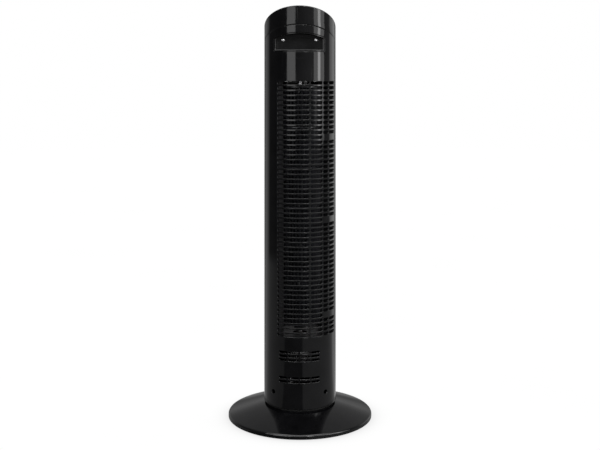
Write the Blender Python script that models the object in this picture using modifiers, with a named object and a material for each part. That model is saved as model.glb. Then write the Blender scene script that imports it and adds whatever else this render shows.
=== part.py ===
"""A tower fan: a round base, and a slim column that swings on it.

Metres, +Z up. The origin is under the middle of the base, on the floor. The fan
blows towards -Y, so its intake grille, handle pocket and vents are on the +Y side.
Angles round the column are "bearings": degrees from the middle of its back,
positive towards -X.
"""

import math

import bmesh
import bpy
from mathutils import Euler, Vector

# ---------------------------------------------------------------- driving sizes

OVERALL_HEIGHT = 0.7080         # floor to the highest point, at the back of the cap
BASE_RADIUS = 0.1255
RIM_INSET = 0.0027              # from the widest edge in to where the dome starts
BASE_RIM_HEIGHT = 0.0092
BASE_TOP_HEIGHT = 0.0265        # flat middle of the dome
COLUMN_FOOT_RADIUS = 0.0628
COLUMN_TAPER = 0.0031           # how much less its radius is at the top
WALL = 0.0025
GAP = 0.0003                    # between pieces that touch
FIT = 0.0004                    # between a plate and the shell round it

SKIRT_GAP = 0.0040              # dome to the lower edge of the column
TOP_SLOPE = 0.54                # rise over run of the cap's top
SEAM_SLOPE = 0.488              # and of the joint under the cap
CAP_HEIGHT = 0.0277             # at the column's axis
SEAM_BEARING = 72.0             # joint between the front and rear shells
FACET = 18.0                    # degrees of one facet of the column

POCKET_DROP = 0.0148            # pocket's floor under the cap's joint, at the axis
POCKET_BEARING = 44.0           # half of its width
POCKET_BAND = 0.0129            # shell left above the pocket, at the back
POCKET_CORNER = 0.0035
POCKET_DEPTH = 0.0260
POCKET_SCREW_SIDE = 0.01416     # from the pocket's side
POCKET_SCREW_DROP = 0.00886     # and under its crown
PLAIN_BAND = 0.0482             # shell between the pocket and the grille

SLOT_PITCH = 0.00814
SLOT_HEIGHT = 0.0052
GRILLE_BAYS = ((-37.0, 15.7), (18.3, 39.0), (41.0, 52.4), (54.4, 70.4))
PADDED_BAYS = 2                 # how many bays, counted from the far end, have pads
PADDED_ROWS = (11, 28, 48)      # closed slots, counted from the top

VENT_PITCH = 0.0067
VENT_HEIGHT = 0.0034
VENT_BAYS = ((-33.5, -19.3), (-17.7, -0.9), (0.9, 17.7), (19.3, 33.5))
VENT_ROWS = ((0.0672, 3), (0.0295, 2))          # lowest edge above the floor plate, rows

OUTLET_BEARING = 38.0           # half of the outlet's width, about the front
OUTLET_COLUMNS = 9
OUTLET_ROWS = 5
OUTLET_TIE = 0.0040
FIN_SHARE = 0.34                # part of the outlet's pitch that is fin

FLOOR_RISE = 0.0175             # dome to the underside of the column's floor plate
FLOOR_THICKNESS = 0.0035
MOTOR_BAY = 0.1005              # floor plate to the duct's floor
PLATE = 0.0025

IMPELLER_RADIUS = 0.0360
IMPELLER_CLEARANCE = 0.0045     # to the walls of the duct
IMPELLER_BLADES = 12
IMPELLER_SECTIONS = 6
BLADE_DEPTH = 0.0075
BLADE_THICKNESS = 0.0010
BLADE_ANGLE = 32.0
DISC = 0.0020
SHAFT_RADIUS = 0.0040

MOTOR_RADIUS = 0.0340
MOTOR_HEIGHT = 0.0500
MOTOR_WALL = 0.0015
ROTOR_RADIUS = 0.0220

PIVOT_RADIUS = 0.0060
PIVOT_BORE = 0.0040
PIVOT_FLANGE = 0.0440
PIVOT_RISE = 0.0065             # stands above the column's floor plate
CLIP_REACH = 0.0050
CLIP_THICKNESS = 0.0020
GLIDE_THICKNESS = 0.0012
GLIDE_WIDTH = 0.0035
BALLAST_HEIGHT = 0.0072
SWING = 30.0                    # degrees each way
PIVOT_SHARE = 0.3283            # of the room beside the pivot, left free of the swing motor
OSCILLATOR_EDGE = 0.0010        # and from its other side to the shells
OSCILLATOR_HEIGHT = 0.0150
CRANK_BEARING = -151.0          # where the swing motor sits
CRANK_INSET = 0.0045            # the crank's disc is smaller than the swing motor
CRANK_PIN = 0.0025
PIN_MARGIN = 0.0015             # pin to the disc's edge
CRANK_THICKNESS = 0.0040
POST_FLANGE = 0.0040
POST_FLANGE_HEIGHT = 0.0020

KEY_PITCH = 0.0125
KEY_WIDTH = 0.0102
KEY_LENGTH = 0.0140
KEY_PROUD = 0.0035
KEY_TRAVEL = 0.0025
KEY_ROW = -0.0210               # along the slope, from the column's axis
KNOB_RADIUS = 0.0150
KNOB_HEIGHT = 0.0120
KNOB_ROW = 0.0200
PANEL_MARGIN = 0.0137
PANEL_THICKNESS = 0.0020
LEDGE = 0.0040                  # width of the step that the panel sits on
LEDGE_THICKNESS = 0.0027

FOOT_RADIUS = 0.0080
FOOT_HEIGHT = 0.0017
FOOT_COUNT = 5
SCREW_RADIUS = 0.0016
SHELL_SCREW_BEARING = 45.5
SHELL_SCREW_RISE = 0.0092       # above the floor plate

# ---------------------------------------------------------------- derived sizes

COLUMN_HEAD_RADIUS = COLUMN_FOOT_RADIUS - COLUMN_TAPER
BASE_RIM_RADIUS = BASE_RADIUS - RIM_INSET
COLUMN_FOOT_Z = BASE_TOP_HEIGHT + SKIRT_GAP
FLOOR_Z = BASE_TOP_HEIGHT + FLOOR_RISE
TOP_Z = OVERALL_HEIGHT - TOP_SLOPE * COLUMN_HEAD_RADIUS
SEAM_Z = TOP_Z - CAP_HEIGHT
TOP_TILT = math.atan(TOP_SLOPE)
SEAM_TILT = math.atan(SEAM_SLOPE)
FLOOR_TOP = FLOOR_Z + FLOOR_THICKNESS
SHELL_SCREW_Z = FLOOR_TOP + SHELL_SCREW_RISE
DUCT_FLOOR_Z = FLOOR_TOP + MOTOR_BAY
DUCT_FOOT = DUCT_FLOOR_Z + PLATE
POCKET_FOOT_Z = SEAM_Z - POCKET_DROP
GRILLE_TOP = POCKET_FOOT_Z - PLAIN_BAND
BAR_HEIGHT = SLOT_PITCH - SLOT_HEIGHT
GRILLE_ROWS = int((GRILLE_TOP - DUCT_FOOT - BAR_HEIGHT) / SLOT_PITCH)
GRILLE_FOOT = GRILLE_TOP - GRILLE_ROWS * SLOT_PITCH + BAR_HEIGHT
DUCT_CEILING_Z = GRILLE_TOP + 0.0065
IMPELLER_FOOT = DUCT_FOOT + 0.0190
IMPELLER_HEAD = DUCT_CEILING_Z - 0.0150
SEAM_HALF_GAP = math.degrees((GAP + WALL * math.sin(math.radians(FACET / 2))) / COLUMN_HEAD_RADIUS)
KEY_NAMES = ("off", "low", "medium", "high", "swing")


def column_radius(z):
    """Outer radius of the column at a height."""
    share = (z - COLUMN_FOOT_Z) / (TOP_Z - COLUMN_FOOT_Z)
    return COLUMN_FOOT_RADIUS + share * (COLUMN_HEAD_RADIUS - COLUMN_FOOT_RADIUS)


def clear_radius(z):
    """Largest round piece that clears the flats inside the shells at a height."""
    return column_radius(z) * math.cos(math.radians(FACET / 2)) - WALL - FIT


def around(bearing, radius, z=0.0):
    """A point at a bearing from the middle of the column's back."""
    turn = math.radians(90.0 + bearing)
    return Vector((radius * math.cos(turn), radius * math.sin(turn), z))


def on_top(across, along, up):
    """A point given from the cap's sloping top: across it, up the slope, off it."""
    slope = Euler((TOP_TILT, 0.0, 0.0)).to_matrix()
    return Vector((0.0, 0.0, TOP_Z)) + slope @ Vector((across, along, up))


# ---------------------------------------------------------------- scene and finishes

for old in list(bpy.data.objects):
    bpy.data.objects.remove(old)


def new_collection(name, helper=False):
    made = bpy.data.collections.new(name)
    bpy.context.scene.collection.children.link(made)
    made.hide_render = helper
    return made


PARTS = new_collection("tower_fan")
CUTTERS = new_collection("cutters", helper=True)


def finish_named(name, colour, roughness, metallic=0.0):
    made = bpy.data.materials.new(name)
    made.use_nodes = True
    shader = made.node_tree.nodes["Principled BSDF"]
    shader.inputs["Base Color"].default_value = (*colour, 1.0)
    shader.inputs["Roughness"].default_value = roughness
    shader.inputs["Metallic"].default_value = metallic
    return made


GLOSS_BLACK = finish_named("gloss_black", (0.012, 0.012, 0.013), 0.12)
MATT_BLACK = finish_named("matt_black", (0.02, 0.02, 0.021), 0.5)
WHEEL_BLACK = finish_named("wheel_black", (0.03, 0.03, 0.032), 0.4)
KEY_GREY = finish_named("key_grey", (0.10, 0.10, 0.105), 0.35)
WHITE_PLASTIC = finish_named("white_plastic", (0.75, 0.74, 0.70), 0.45)
RUBBER = finish_named("rubber", (0.03, 0.03, 0.03), 0.8)
STEEL = finish_named("steel", (0.55, 0.55, 0.56), 0.3, 1.0)
COPPER = finish_named("copper", (0.70, 0.33, 0.16), 0.35, 1.0)
BRONZE = finish_named("bronze", (0.55, 0.40, 0.20), 0.4, 1.0)


# ---------------------------------------------------------------- modelling helpers

def place(name, mesh, finish=None, at=(0, 0, 0), turn=(0, 0, 0)):
    """Puts a mesh in the scene: as a part if it has a finish, else as a cutter."""
    thing = bpy.data.objects.new(name, mesh)
    thing.location = at
    thing.rotation_euler = turn
    if finish is None:
        CUTTERS.objects.link(thing)
        thing.hide_render = True
        thing.display_type = "WIRE"
    else:
        PARTS.objects.link(thing)
        mesh.materials.append(finish)
        mesh.shade_smooth()
        mesh.set_sharp_from_angle(angle=math.radians(35))
    return thing


def mesh_from(name, bm):
    mesh = bpy.data.meshes.new(name)
    bm.to_mesh(mesh)
    bm.free()
    return mesh


def block(name, low, high, finish=None, at=(0, 0, 0), turn=(0, 0, 0)):
    """A box between two corners, given from its own origin."""
    low, high = Vector(low), Vector(high)
    bm = bmesh.new()
    bmesh.ops.create_cube(bm, size=1.0)
    bmesh.ops.scale(bm, vec=high - low, verts=bm.verts)
    bmesh.ops.translate(bm, vec=(low + high) / 2, verts=bm.verts)
    return place(name, mesh_from(name, bm), finish, at, turn)


def rod(name, radius, low, high, finish=None, at=(0, 0, 0), turn=(0, 0, 0), sides=24, top=None):
    """A cylinder or cone along its own Z, between two heights."""
    bm = bmesh.new()
    bmesh.ops.create_cone(bm, cap_ends=True, segments=sides, radius1=radius,
                          radius2=radius if top is None else top, depth=high - low)
    bmesh.ops.translate(bm, vec=(0, 0, (low + high) / 2), verts=bm.verts)
    return place(name, mesh_from(name, bm), finish, at, turn)


def profile_mesh(name, points, closed):
    mesh = bpy.data.meshes.new(name)
    edges = [(i, i + 1) for i in range(len(points) - 1)]
    if closed:
        edges.append((len(points) - 1, 0))
    mesh.from_pydata([(r, 0.0, z) for r, z in points], edges, [])
    return mesh


def turned(name, points, finish=None, at=(0, 0, 0), turn=(0, 0, 0), sides=24, closed=True):
    """A closed profile of (radius, height) turned right round Z, outer side first."""
    thing = place(name, profile_mesh(name, points, closed), finish, at, turn)
    sweep = thing.modifiers.new("turn", "SCREW")
    sweep.steps = sides
    sweep.render_steps = sides
    sweep.use_merge_vertices = True
    sweep.merge_threshold = 0.00001
    sweep.use_smooth_shade = False
    return thing


def arc_wall(name, line, start, end, thickness, offset, finish=None, at_z=0.0, facet=FACET):
    """A wall from bearing start to end: a line of (radius, height) swept, then thickened."""
    thing = place(name, profile_mesh(name, line, False), finish, (0, 0, at_z))
    thing.rotation_euler = (0, 0, math.radians(90.0 + start))
    sweep = thing.modifiers.new("sweep", "SCREW")
    sweep.angle = math.radians(end - start)
    sweep.steps = max(1, round((end - start) / facet))
    sweep.render_steps = sweep.steps
    sweep.use_smooth_shade = False
    wall = thing.modifiers.new("wall", "SOLIDIFY")
    wall.thickness = thickness
    wall.offset = offset
    wall.use_even_offset = True
    return thing


def stack(thing, count, pitch):
    """Repeats a piece upwards."""
    rows = thing.modifiers.new("rows", "ARRAY")
    rows.count = count
    rows.use_relative_offset = False
    rows.use_constant_offset = True
    rows.constant_offset_displace = (0, 0, pitch)
    return thing


def cut(thing, *cutters):
    for cutter in cutters:
        bore = thing.modifiers.new("cut", "BOOLEAN")
        bore.operation = "DIFFERENCE"
        bore.solver = "EXACT"
        bore.object = cutter


def join(thing, *others):
    for other in others:
        weld = thing.modifiers.new("join", "BOOLEAN")
        weld.operation = "UNION"
        weld.solver = "EXACT"
        weld.object = other


def keep_inside(thing, other):
    trim = thing.modifiers.new("trim", "BOOLEAN")
    trim.operation = "INTERSECT"
    trim.solver = "EXACT"
    trim.object = other


def cut_all(thing, cutters):
    """Cuts a whole group of separate cutters in one go."""
    group = new_collection(thing.name + "_cutters", helper=True)
    for cutter in cutters:
        CUTTERS.objects.unlink(cutter)
        group.objects.link(cutter)
    bores = thing.modifiers.new("pattern", "BOOLEAN")
    bores.operation = "DIFFERENCE"
    bores.solver = "EXACT"
    bores.operand_type = "COLLECTION"
    bores.collection = group


def outline_solid(name, points, low, high, finish=None, turn=(0, 0, 0), at=(0, 0, 0)):
    """A flat outline given thickness along its own Z, from low to high."""
    curve = bpy.data.curves.new(name, "CURVE")
    curve.dimensions = "2D"
    curve.fill_mode = "BOTH"
    curve.extrude = (high - low) / 2
    spline = curve.splines.new("POLY")
    spline.points.add(len(points) - 1)
    for spot, (x, y) in zip(spline.points, points):
        spot.co = (x, y, 0.0, 1.0)
    spline.use_cyclic_u = True
    flat = bpy.data.objects.new(name + "_outline", curve)
    CUTTERS.objects.link(flat)
    bpy.context.view_layer.update()
    mesh = bpy.data.meshes.new_from_object(flat.evaluated_get(bpy.context.evaluated_depsgraph_get()))
    bpy.data.objects.remove(flat)
    bm = bmesh.new()
    bm.from_mesh(mesh)
    bmesh.ops.remove_doubles(bm, verts=bm.verts, dist=0.00001)
    bmesh.ops.recalc_face_normals(bm, faces=bm.faces)
    bmesh.ops.translate(bm, vec=(0, 0, (low + high) / 2), verts=bm.verts)
    bm.to_mesh(mesh)
    bm.free()
    mesh.name = name
    return place(name, mesh, finish, at, turn)


def sheet_wall(name, path, low, high, thickness, finish):
    """An upright wall that follows a path of (x, y) points."""
    mesh = bpy.data.meshes.new(name)
    count = len(path)
    spots = [(x, y, z) for z in (low, high) for x, y in path]
    faces = [(i, i + 1, count + i + 1, count + i) for i in range(count - 1)]
    mesh.from_pydata(spots, [], faces)
    thing = place(name, mesh, finish)
    wall = thing.modifiers.new("wall", "SOLIDIFY")
    wall.thickness = thickness
    wall.offset = 0.0
    wall.use_even_offset = True
    return thing


def above_slope(name, z, tilt):
    """A big block whose sloping underside crosses the column's axis at z."""
    return block(name, (-0.2, -0.2, 0.0), (0.2, 0.2, 0.3), at=(0, 0, z), turn=(tilt, 0, 0))


def below_slope(name, z, tilt):
    return block(name, (-0.2, -0.2, -0.3), (0.2, 0.2, 0.0), at=(0, 0, z), turn=(tilt, 0, 0))


def pan_screw(name, head, length, finish, at, turn):
    """A pan-head screw: its head is on its own +Z side, its shank runs to -Z."""
    points = ((0.0, 0.5 * head), (0.7 * head, 0.42 * head), (head, 0.12 * head), (head, 0.0),
              (SCREW_RADIUS, 0.0), (SCREW_RADIUS, -length), (0.0, -length))
    return turned(name, points, finish, at, turn, sides=12, closed=False)


# ---------------------------------------------------------------- base

RIM_FOOT_Z = 0.0015
BASE_PLATE_Z = FOOT_HEIGHT + GAP
DOME_FLAT_RADIUS = COLUMN_FOOT_RADIUS - 0.0018
BASE_SIDES = 36
BASE_SCREW_CIRCLE = 0.0350
GROMMET_SPOT = (0.0, 0.0260)
GROMMET_RADIUS = 0.0065


def dome_height(radius):
    """The dome falls from its flat middle to the rim, a little faster near the rim."""
    share = (radius - DOME_FLAT_RADIUS) / (BASE_RIM_RADIUS - DOME_FLAT_RADIUS)
    return BASE_TOP_HEIGHT - (BASE_TOP_HEIGHT - BASE_RIM_HEIGHT) * share ** 1.2


def make_base():
    bore = PIVOT_RADIUS + GAP
    radii = [DOME_FLAT_RADIUS + i * (BASE_RIM_RADIUS - DOME_FLAT_RADIUS) / 3 for i in range(4)]
    outer = [(r, dome_height(r)) for r in radii]
    inner = [(r, dome_height(r) - WALL) for r in reversed(radii[:-1])]
    profile = [(bore, BASE_TOP_HEIGHT), *outer, (BASE_RADIUS, RIM_FOOT_Z + 0.004),
               (BASE_RADIUS, RIM_FOOT_Z), (BASE_RADIUS - WALL, RIM_FOOT_Z),
               (BASE_RADIUS - WALL, RIM_FOOT_Z + 0.003), *inner, (bore, BASE_TOP_HEIGHT - WALL)]
    turned("base_top", profile, GLOSS_BLACK, sides=BASE_SIDES)

    plate = rod("base_bottom", BASE_RADIUS - WALL - FIT, BASE_PLATE_Z, BASE_PLATE_Z + PLATE,
                MATT_BLACK, sides=BASE_SIDES)
    bed, near, far = BASE_PLATE_Z + PLATE + GAP, PIVOT_FLANGE + 0.002, BASE_RADIUS - 0.0315
    turned("base_ballast", ((far, bed + BALLAST_HEIGHT), (far, bed), (near, bed),
                            (near, bed + BALLAST_HEIGHT)), STEEL)
    cut(plate, rod("grommet_hole", GROMMET_RADIUS, 0, 0.02, at=(*GROMMET_SPOT, 0), sides=16))
    low, high = BASE_PLATE_Z - 0.0008, BASE_PLATE_Z + PLATE + 0.0015
    turned("cord_grommet", ((GROMMET_RADIUS - GAP, high), (GROMMET_RADIUS - GAP, low),
                            (0.0040, low), (0.0040, high)), RUBBER, (*GROMMET_SPOT, 0), sides=12)

    for i in range(FOOT_COUNT):
        spot = around(360.0 * i / FOOT_COUNT, BASE_RADIUS - 0.018)
        rod(f"foot_{i + 1}", FOOT_RADIUS, 0, FOOT_HEIGHT, RUBBER, spot, sides=20)

    pivot_foot = BASE_TOP_HEIGHT - WALL - GAP
    turned("pivot_tube", ((PIVOT_RADIUS, FLOOR_TOP + PIVOT_RISE), (PIVOT_RADIUS, pivot_foot),
                          (PIVOT_FLANGE, pivot_foot), (PIVOT_FLANGE, pivot_foot - PLATE),
                          (PIVOT_BORE, pivot_foot - PLATE), (PIVOT_BORE, FLOOR_TOP + PIVOT_RISE)),
           STEEL, sides=24)
    pivot = bpy.data.objects["pivot_tube"]
    for i in range(3):
        spot = around(67.0 + 120.0 * i, BASE_SCREW_CIRCLE)
        cut(pivot, rod(f"pivot_hole_{i + 1}", SCREW_RADIUS + GAP, 0, 0.1, at=spot, sides=12))
        cut(bpy.data.objects["base_top"],
            rod(f"dome_hole_{i + 1}", SCREW_RADIUS + GAP, 0, 0.1, at=spot, sides=12))
        pan_screw(f"base_screw_{i + 1}", 0.0030, PLATE + WALL + GAP, STEEL,
                  spot + Vector((0, 0, pivot_foot - PLATE - GAP)), (math.pi, 0, 0))

    clip_foot = FLOOR_TOP + GAP
    clip_top, clip_outer = clip_foot + CLIP_THICKNESS, PIVOT_RADIUS + CLIP_REACH
    turned("pivot_clip", ((clip_outer, clip_top), (clip_outer, clip_foot),
                          (PIVOT_RADIUS + GAP, clip_foot), (PIVOT_RADIUS + GAP, clip_top)),
           STEEL, sides=16)

    ring_foot = BASE_TOP_HEIGHT + GAP
    outer = clear_radius(FLOOR_Z) - GAP
    inner, ring_top = outer - GLIDE_WIDTH, ring_foot + GLIDE_THICKNESS
    turned("glide_ring", ((outer, ring_top), (outer, ring_foot), (inner, ring_foot), (inner, ring_top)),
           WHITE_PLASTIC)
    flange_top = ring_foot + POST_FLANGE_HEIGHT
    turned("link_post", ((0.0, LINK_Z - GAP), (CRANK_PIN, LINK_Z - GAP), (CRANK_PIN, flange_top),
                         (POST_FLANGE, flange_top), (POST_FLANGE, ring_foot), (0.0, ring_foot)),
           STEEL, (POST_RADIUS, 0, 0), sides=16, closed=False)


# ---------------------------------------------------------------- swing drive

LINK_Z = BASE_TOP_HEIGHT + 0.0063
LINK_THICKNESS = 0.0034
LINK_EYE = 0.0055
LINK_HALF_WIDTH = 0.0030
HUB_RADIUS = PIVOT_RADIUS + GAP + 0.0023
CRANK_Z = LINK_Z + LINK_THICKNESS + 0.0013
DRIVE_ROOM = clear_radius(FLOOR_TOP) - OSCILLATOR_EDGE
PIVOT_ROOM = PIVOT_SHARE * DRIVE_ROOM
OSCILLATOR_RADIUS = (DRIVE_ROOM - PIVOT_ROOM) / 2
CRANK_DISC = OSCILLATOR_RADIUS - CRANK_INSET
CRANK_THROW = CRANK_DISC - CRANK_PIN - PIN_MARGIN
POST_RADIUS = CRANK_THROW / math.sin(math.radians(SWING))       # from the pivot to the link's post
CRANK_CENTRE = around(CRANK_BEARING, PIVOT_ROOM + OSCILLATOR_RADIUS)
CRANK_SPOT = CRANK_CENTRE + Vector((CRANK_THROW, 0, 0))


def make_column_floor():
    rim = clear_radius(FLOOR_TOP)
    foot = BASE_TOP_HEIGHT + GLIDE_THICKNESS + 2 * GAP
    bore = PIVOT_RADIUS + GAP
    floor = turned("column_floor", (
        (rim, FLOOR_TOP), (rim, foot), (rim - GLIDE_WIDTH, foot), (rim - GLIDE_WIDTH, FLOOR_Z),
        (0.0180, FLOOR_Z), (0.0180, CRANK_Z), (HUB_RADIUS, CRANK_Z), (HUB_RADIUS, foot),
        (bore, foot), (bore, FLOOR_TOP)), MATT_BLACK)
    shaft_hole = rod("crank_shaft_hole", 0.0032, 0, 0.1, at=CRANK_CENTRE, sides=16)
    cut(floor, shaft_hole)
    for side in (-1, 1):
        bearing = side * SHELL_SCREW_BEARING
        label = "right" if side > 0 else "left"
        spot = around(bearing, 0, FLOOR_TOP - 0.001)
        far = clear_radius(SHELL_SCREW_Z) - SCREW_BOSS_LENGTH - FIT
        lug = block(f"floor_lug_{label}", (-0.005, far - 0.009, 0),
                    (0.005, far, SHELL_SCREW_RISE + 0.0073), at=spot,
                    turn=(0, 0, math.radians(bearing)))
        join(floor, lug)
        cut(floor, rod(f"lug_hole_{label}", SCREW_RADIUS + GAP, 0.02, 0.08,
                       at=(0, 0, SHELL_SCREW_Z), turn=(-math.pi / 2, 0, math.radians(bearing)),
                       sides=12))


def make_swing_drive():
    rod("swing_motor", OSCILLATOR_RADIUS, FLOOR_TOP + GAP, FLOOR_TOP + GAP + OSCILLATOR_HEIGHT,
        STEEL, CRANK_CENTRE)
    crank = rod("swing_crank", CRANK_DISC, CRANK_Z, CRANK_Z + CRANK_THICKNESS, WHITE_PLASTIC, CRANK_CENTRE)
    shaft = rod("crank_shaft", CRANK_PIN, CRANK_Z + CRANK_THICKNESS / 2, FLOOR_TOP, at=CRANK_CENTRE, sides=16)
    pin = rod("crank_pin", CRANK_PIN, LINK_Z - 0.001, CRANK_Z + CRANK_THICKNESS / 2, at=CRANK_SPOT, sides=16)
    join(crank, shaft, pin)

    reach = Vector((POST_RADIUS, 0, 0)) - CRANK_SPOT
    top = LINK_Z + LINK_THICKNESS
    link = rod("swing_link", LINK_EYE, LINK_Z, top, STEEL, CRANK_SPOT, sides=20)
    far_eye = rod("link_far_eye", LINK_EYE, LINK_Z, top, at=CRANK_SPOT + reach, sides=20)
    bar = block("link_bar", (0.002, -LINK_HALF_WIDTH, LINK_Z + 0.0004),
                (reach.length - 0.002, LINK_HALF_WIDTH, top - 0.0004), at=CRANK_SPOT,
                turn=(0, 0, math.atan2(reach.y, reach.x)))
    join(link, bar, far_eye)
    for name, spot in (("near", CRANK_SPOT), ("far", CRANK_SPOT + reach)):
        cut(link, rod(f"link_hole_{name}", CRANK_PIN + GAP, 0.02, 0.05, at=spot, sides=16))


# ---------------------------------------------------------------- column shells

SCREW_BOSS_LENGTH = 0.0120
SCREW_WELL = 0.0038
SHELL_LINE_TOP = OVERALL_HEIGHT + 0.02


def shell_line():
    """The column's outer line, carried past the cap so that the slope can cut it."""
    return ((column_radius(SHELL_LINE_TOP), SHELL_LINE_TOP),
            (column_radius(COLUMN_FOOT_Z), COLUMN_FOOT_Z))


def row_runs(closed_rows):
    """Unbroken runs of open slots, as (first, count), counted from the bottom."""
    closed = sorted(GRILLE_ROWS - 1 - row for row in closed_rows if row < GRILLE_ROWS)
    runs = []
    first = 0
    for row in [*closed, GRILLE_ROWS]:
        if row > first:
            runs.append((first, row - first))
        first = row + 1
    return runs


def grille_cutters():
    cutters = []
    for number, (start, end) in enumerate(GRILLE_BAYS):
        padded = number >= len(GRILLE_BAYS) - PADDED_BAYS
        for first, count in row_runs(PADDED_ROWS if padded else ()):
            middle = column_radius(GRILLE_FOOT) - 0.0025
            slot = arc_wall(f"slot_{number}_{first}", ((middle, SLOT_HEIGHT), (middle, 0.0)),
                            start, end, 0.026, 0.0, at_z=GRILLE_FOOT + first * SLOT_PITCH,
                            facet=60.0)
            cutters.append(stack(slot, count, SLOT_PITCH))
    return cutters


def vent_cutters():
    cutters = []
    for number, (rise, rows) in enumerate(VENT_ROWS):
        foot = FLOOR_TOP + rise
        for start, end in VENT_BAYS:
            middle = column_radius(foot) - WALL / 2
            vent = arc_wall(f"vent_{number}_{start:g}", ((middle, VENT_HEIGHT), (middle, 0.0)),
                            start, end, 0.010, 0.0, at_z=foot, facet=18.0)
            cutters.append(stack(vent, rows, VENT_PITCH))
    return cutters


def pocket_crown(x):
    """Height of the pocket's upper edge: parallel to the line of the cap's joint."""
    back = column_radius(SEAM_Z)
    fall = SEAM_SLOPE * (back - math.sqrt(back ** 2 - x ** 2))
    return SEAM_Z + SEAM_SLOPE * back - POCKET_BAND - fall


def pocket_half():
    return column_radius(SEAM_Z) * math.sin(math.radians(POCKET_BEARING))


def pocket_outline(inset):
    """The pocket seen from behind: flat below, and above it the line of the cap's joint."""
    half = pocket_half() - inset
    foot = POCKET_FOOT_Z + inset
    corner = POCKET_CORNER
    points = []
    for side in (-1, 1):
        turns = (0, 30, 60, 90)
        arc = [(side * (half - corner + corner * math.sin(math.radians(t))),
                foot + corner - corner * math.cos(math.radians(t))) for t in turns]
        points += arc if side > 0 else arc[::-1]
    for i in range(9):
        x = half * (1 - i / 4)
        points.append((x, pocket_crown(x) - inset))
    return points


def make_rear_shell():
    edge = SEAM_BEARING - SEAM_HALF_GAP
    shell = arc_wall("rear_shell", shell_line(), -edge, edge, WALL, -1.0, GLOSS_BLACK)
    cut(shell, above_slope("rear_seam", SEAM_Z - GAP, SEAM_TILT))
    for side in (-1, 1):
        bearing = side * SHELL_SCREW_BEARING
        label = "right" if side > 0 else "left"
        turn = (-math.pi / 2, 0, math.radians(bearing))
        wall = clear_radius(SHELL_SCREW_Z) + FIT
        boss = rod(f"screw_boss_{label}", 0.0050, wall - SCREW_BOSS_LENGTH, wall + 0.0012,
                   at=(0, 0, SHELL_SCREW_Z), turn=turn, sides=16)
        well = rod(f"screw_well_{label}", SCREW_WELL, wall - SCREW_BOSS_LENGTH + 0.003, 0.09,
                   at=(0, 0, SHELL_SCREW_Z), turn=turn, sides=16)
        hole = rod(f"screw_hole_{label}", SCREW_RADIUS + GAP, 0.02, 0.09,
                   at=(0, 0, SHELL_SCREW_Z), turn=turn, sides=12)
        join(shell, boss)
        cut(shell, well, hole)
        seat = wall - SCREW_BOSS_LENGTH + 0.003 + GAP
        pan_screw(f"shell_screw_{label}", 0.0026, 0.0110, STEEL,
                  around(bearing, seat, SHELL_SCREW_Z), turn)
    opening = outline_solid("pocket_opening", pocket_outline(0.0), -0.1, -0.02,
                            turn=(math.pi / 2, 0, 0))
    cut(shell, opening)
    cut_all(shell, grille_cutters() + vent_cutters())


def make_front_shell():
    start = SEAM_BEARING + SEAM_HALF_GAP
    shell = arc_wall("front_shell", shell_line(), start, 360.0 - start, WALL, -1.0, GLOSS_BLACK)
    cut(shell, above_slope("front_seam", SEAM_Z - GAP, SEAM_TILT))
    pitch = 2 * OUTLET_BEARING / OUTLET_COLUMNS
    row = (GRILLE_TOP - GRILLE_FOOT + OUTLET_TIE) / OUTLET_ROWS
    middle = column_radius(GRILLE_FOOT) - 0.0025
    cutters = []
    for i in range(OUTLET_COLUMNS):
        first = 180.0 - OUTLET_BEARING + (i + FIN_SHARE / 2) * pitch
        slot = arc_wall(f"outlet_{i}", ((middle, row - OUTLET_TIE), (middle, 0.0)), first,
                        first + pitch * (1 - FIN_SHARE), 0.016, 0.0, at_z=GRILLE_FOOT)
        cutters.append(stack(slot, OUTLET_ROWS, row))
    cut_all(shell, cutters)


# ---------------------------------------------------------------- handle pocket

def make_handle_pocket():
    back = column_radius(SEAM_Z)
    floor_y = back - POCKET_DEPTH
    pocket = outline_solid("handle_pocket", pocket_outline(GAP), -0.075, -(floor_y - 0.002),
                           MATT_BLACK, turn=(math.pi / 2, 0, 0))
    skin = rod("pocket_skin", column_radius(POCKET_FOOT_Z) - 0.0004, POCKET_FOOT_Z - 0.02,
               OVERALL_HEIGHT, sides=120, top=column_radius(OVERALL_HEIGHT) - 0.0004)
    keep_inside(pocket, skin)
    hollow = outline_solid("pocket_hollow", pocket_outline(0.002), -0.1, -floor_y,
                           turn=(math.pi / 2, 0, 0))
    cut(pocket, hollow)
    screw_x = pocket_half() - POCKET_SCREW_SIDE
    for side in (-1, 1):
        label = "right" if side < 0 else "left"
        spot = Vector((side * screw_x, floor_y + GAP, pocket_crown(screw_x) - POCKET_SCREW_DROP))
        turn = (-math.pi / 2, 0, 0)
        cut(pocket, rod(f"pocket_hole_{label}", SCREW_RADIUS + GAP, -0.02, 0.02, at=spot,
                        turn=turn, sides=12))
        pan_screw(f"pocket_screw_{label}", 0.0030, 0.0080, STEEL, spot, turn)


# ---------------------------------------------------------------- air duct and impeller

TONGUE = ((141.0, 1.0), (136.0, 0.46), (128.0, 0.0), (118.0, 0.0), (108.0, 0.13),
          (99.0, 0.53), (92.0, 1.0))        # bearing, share of the way out to the shell


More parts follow.
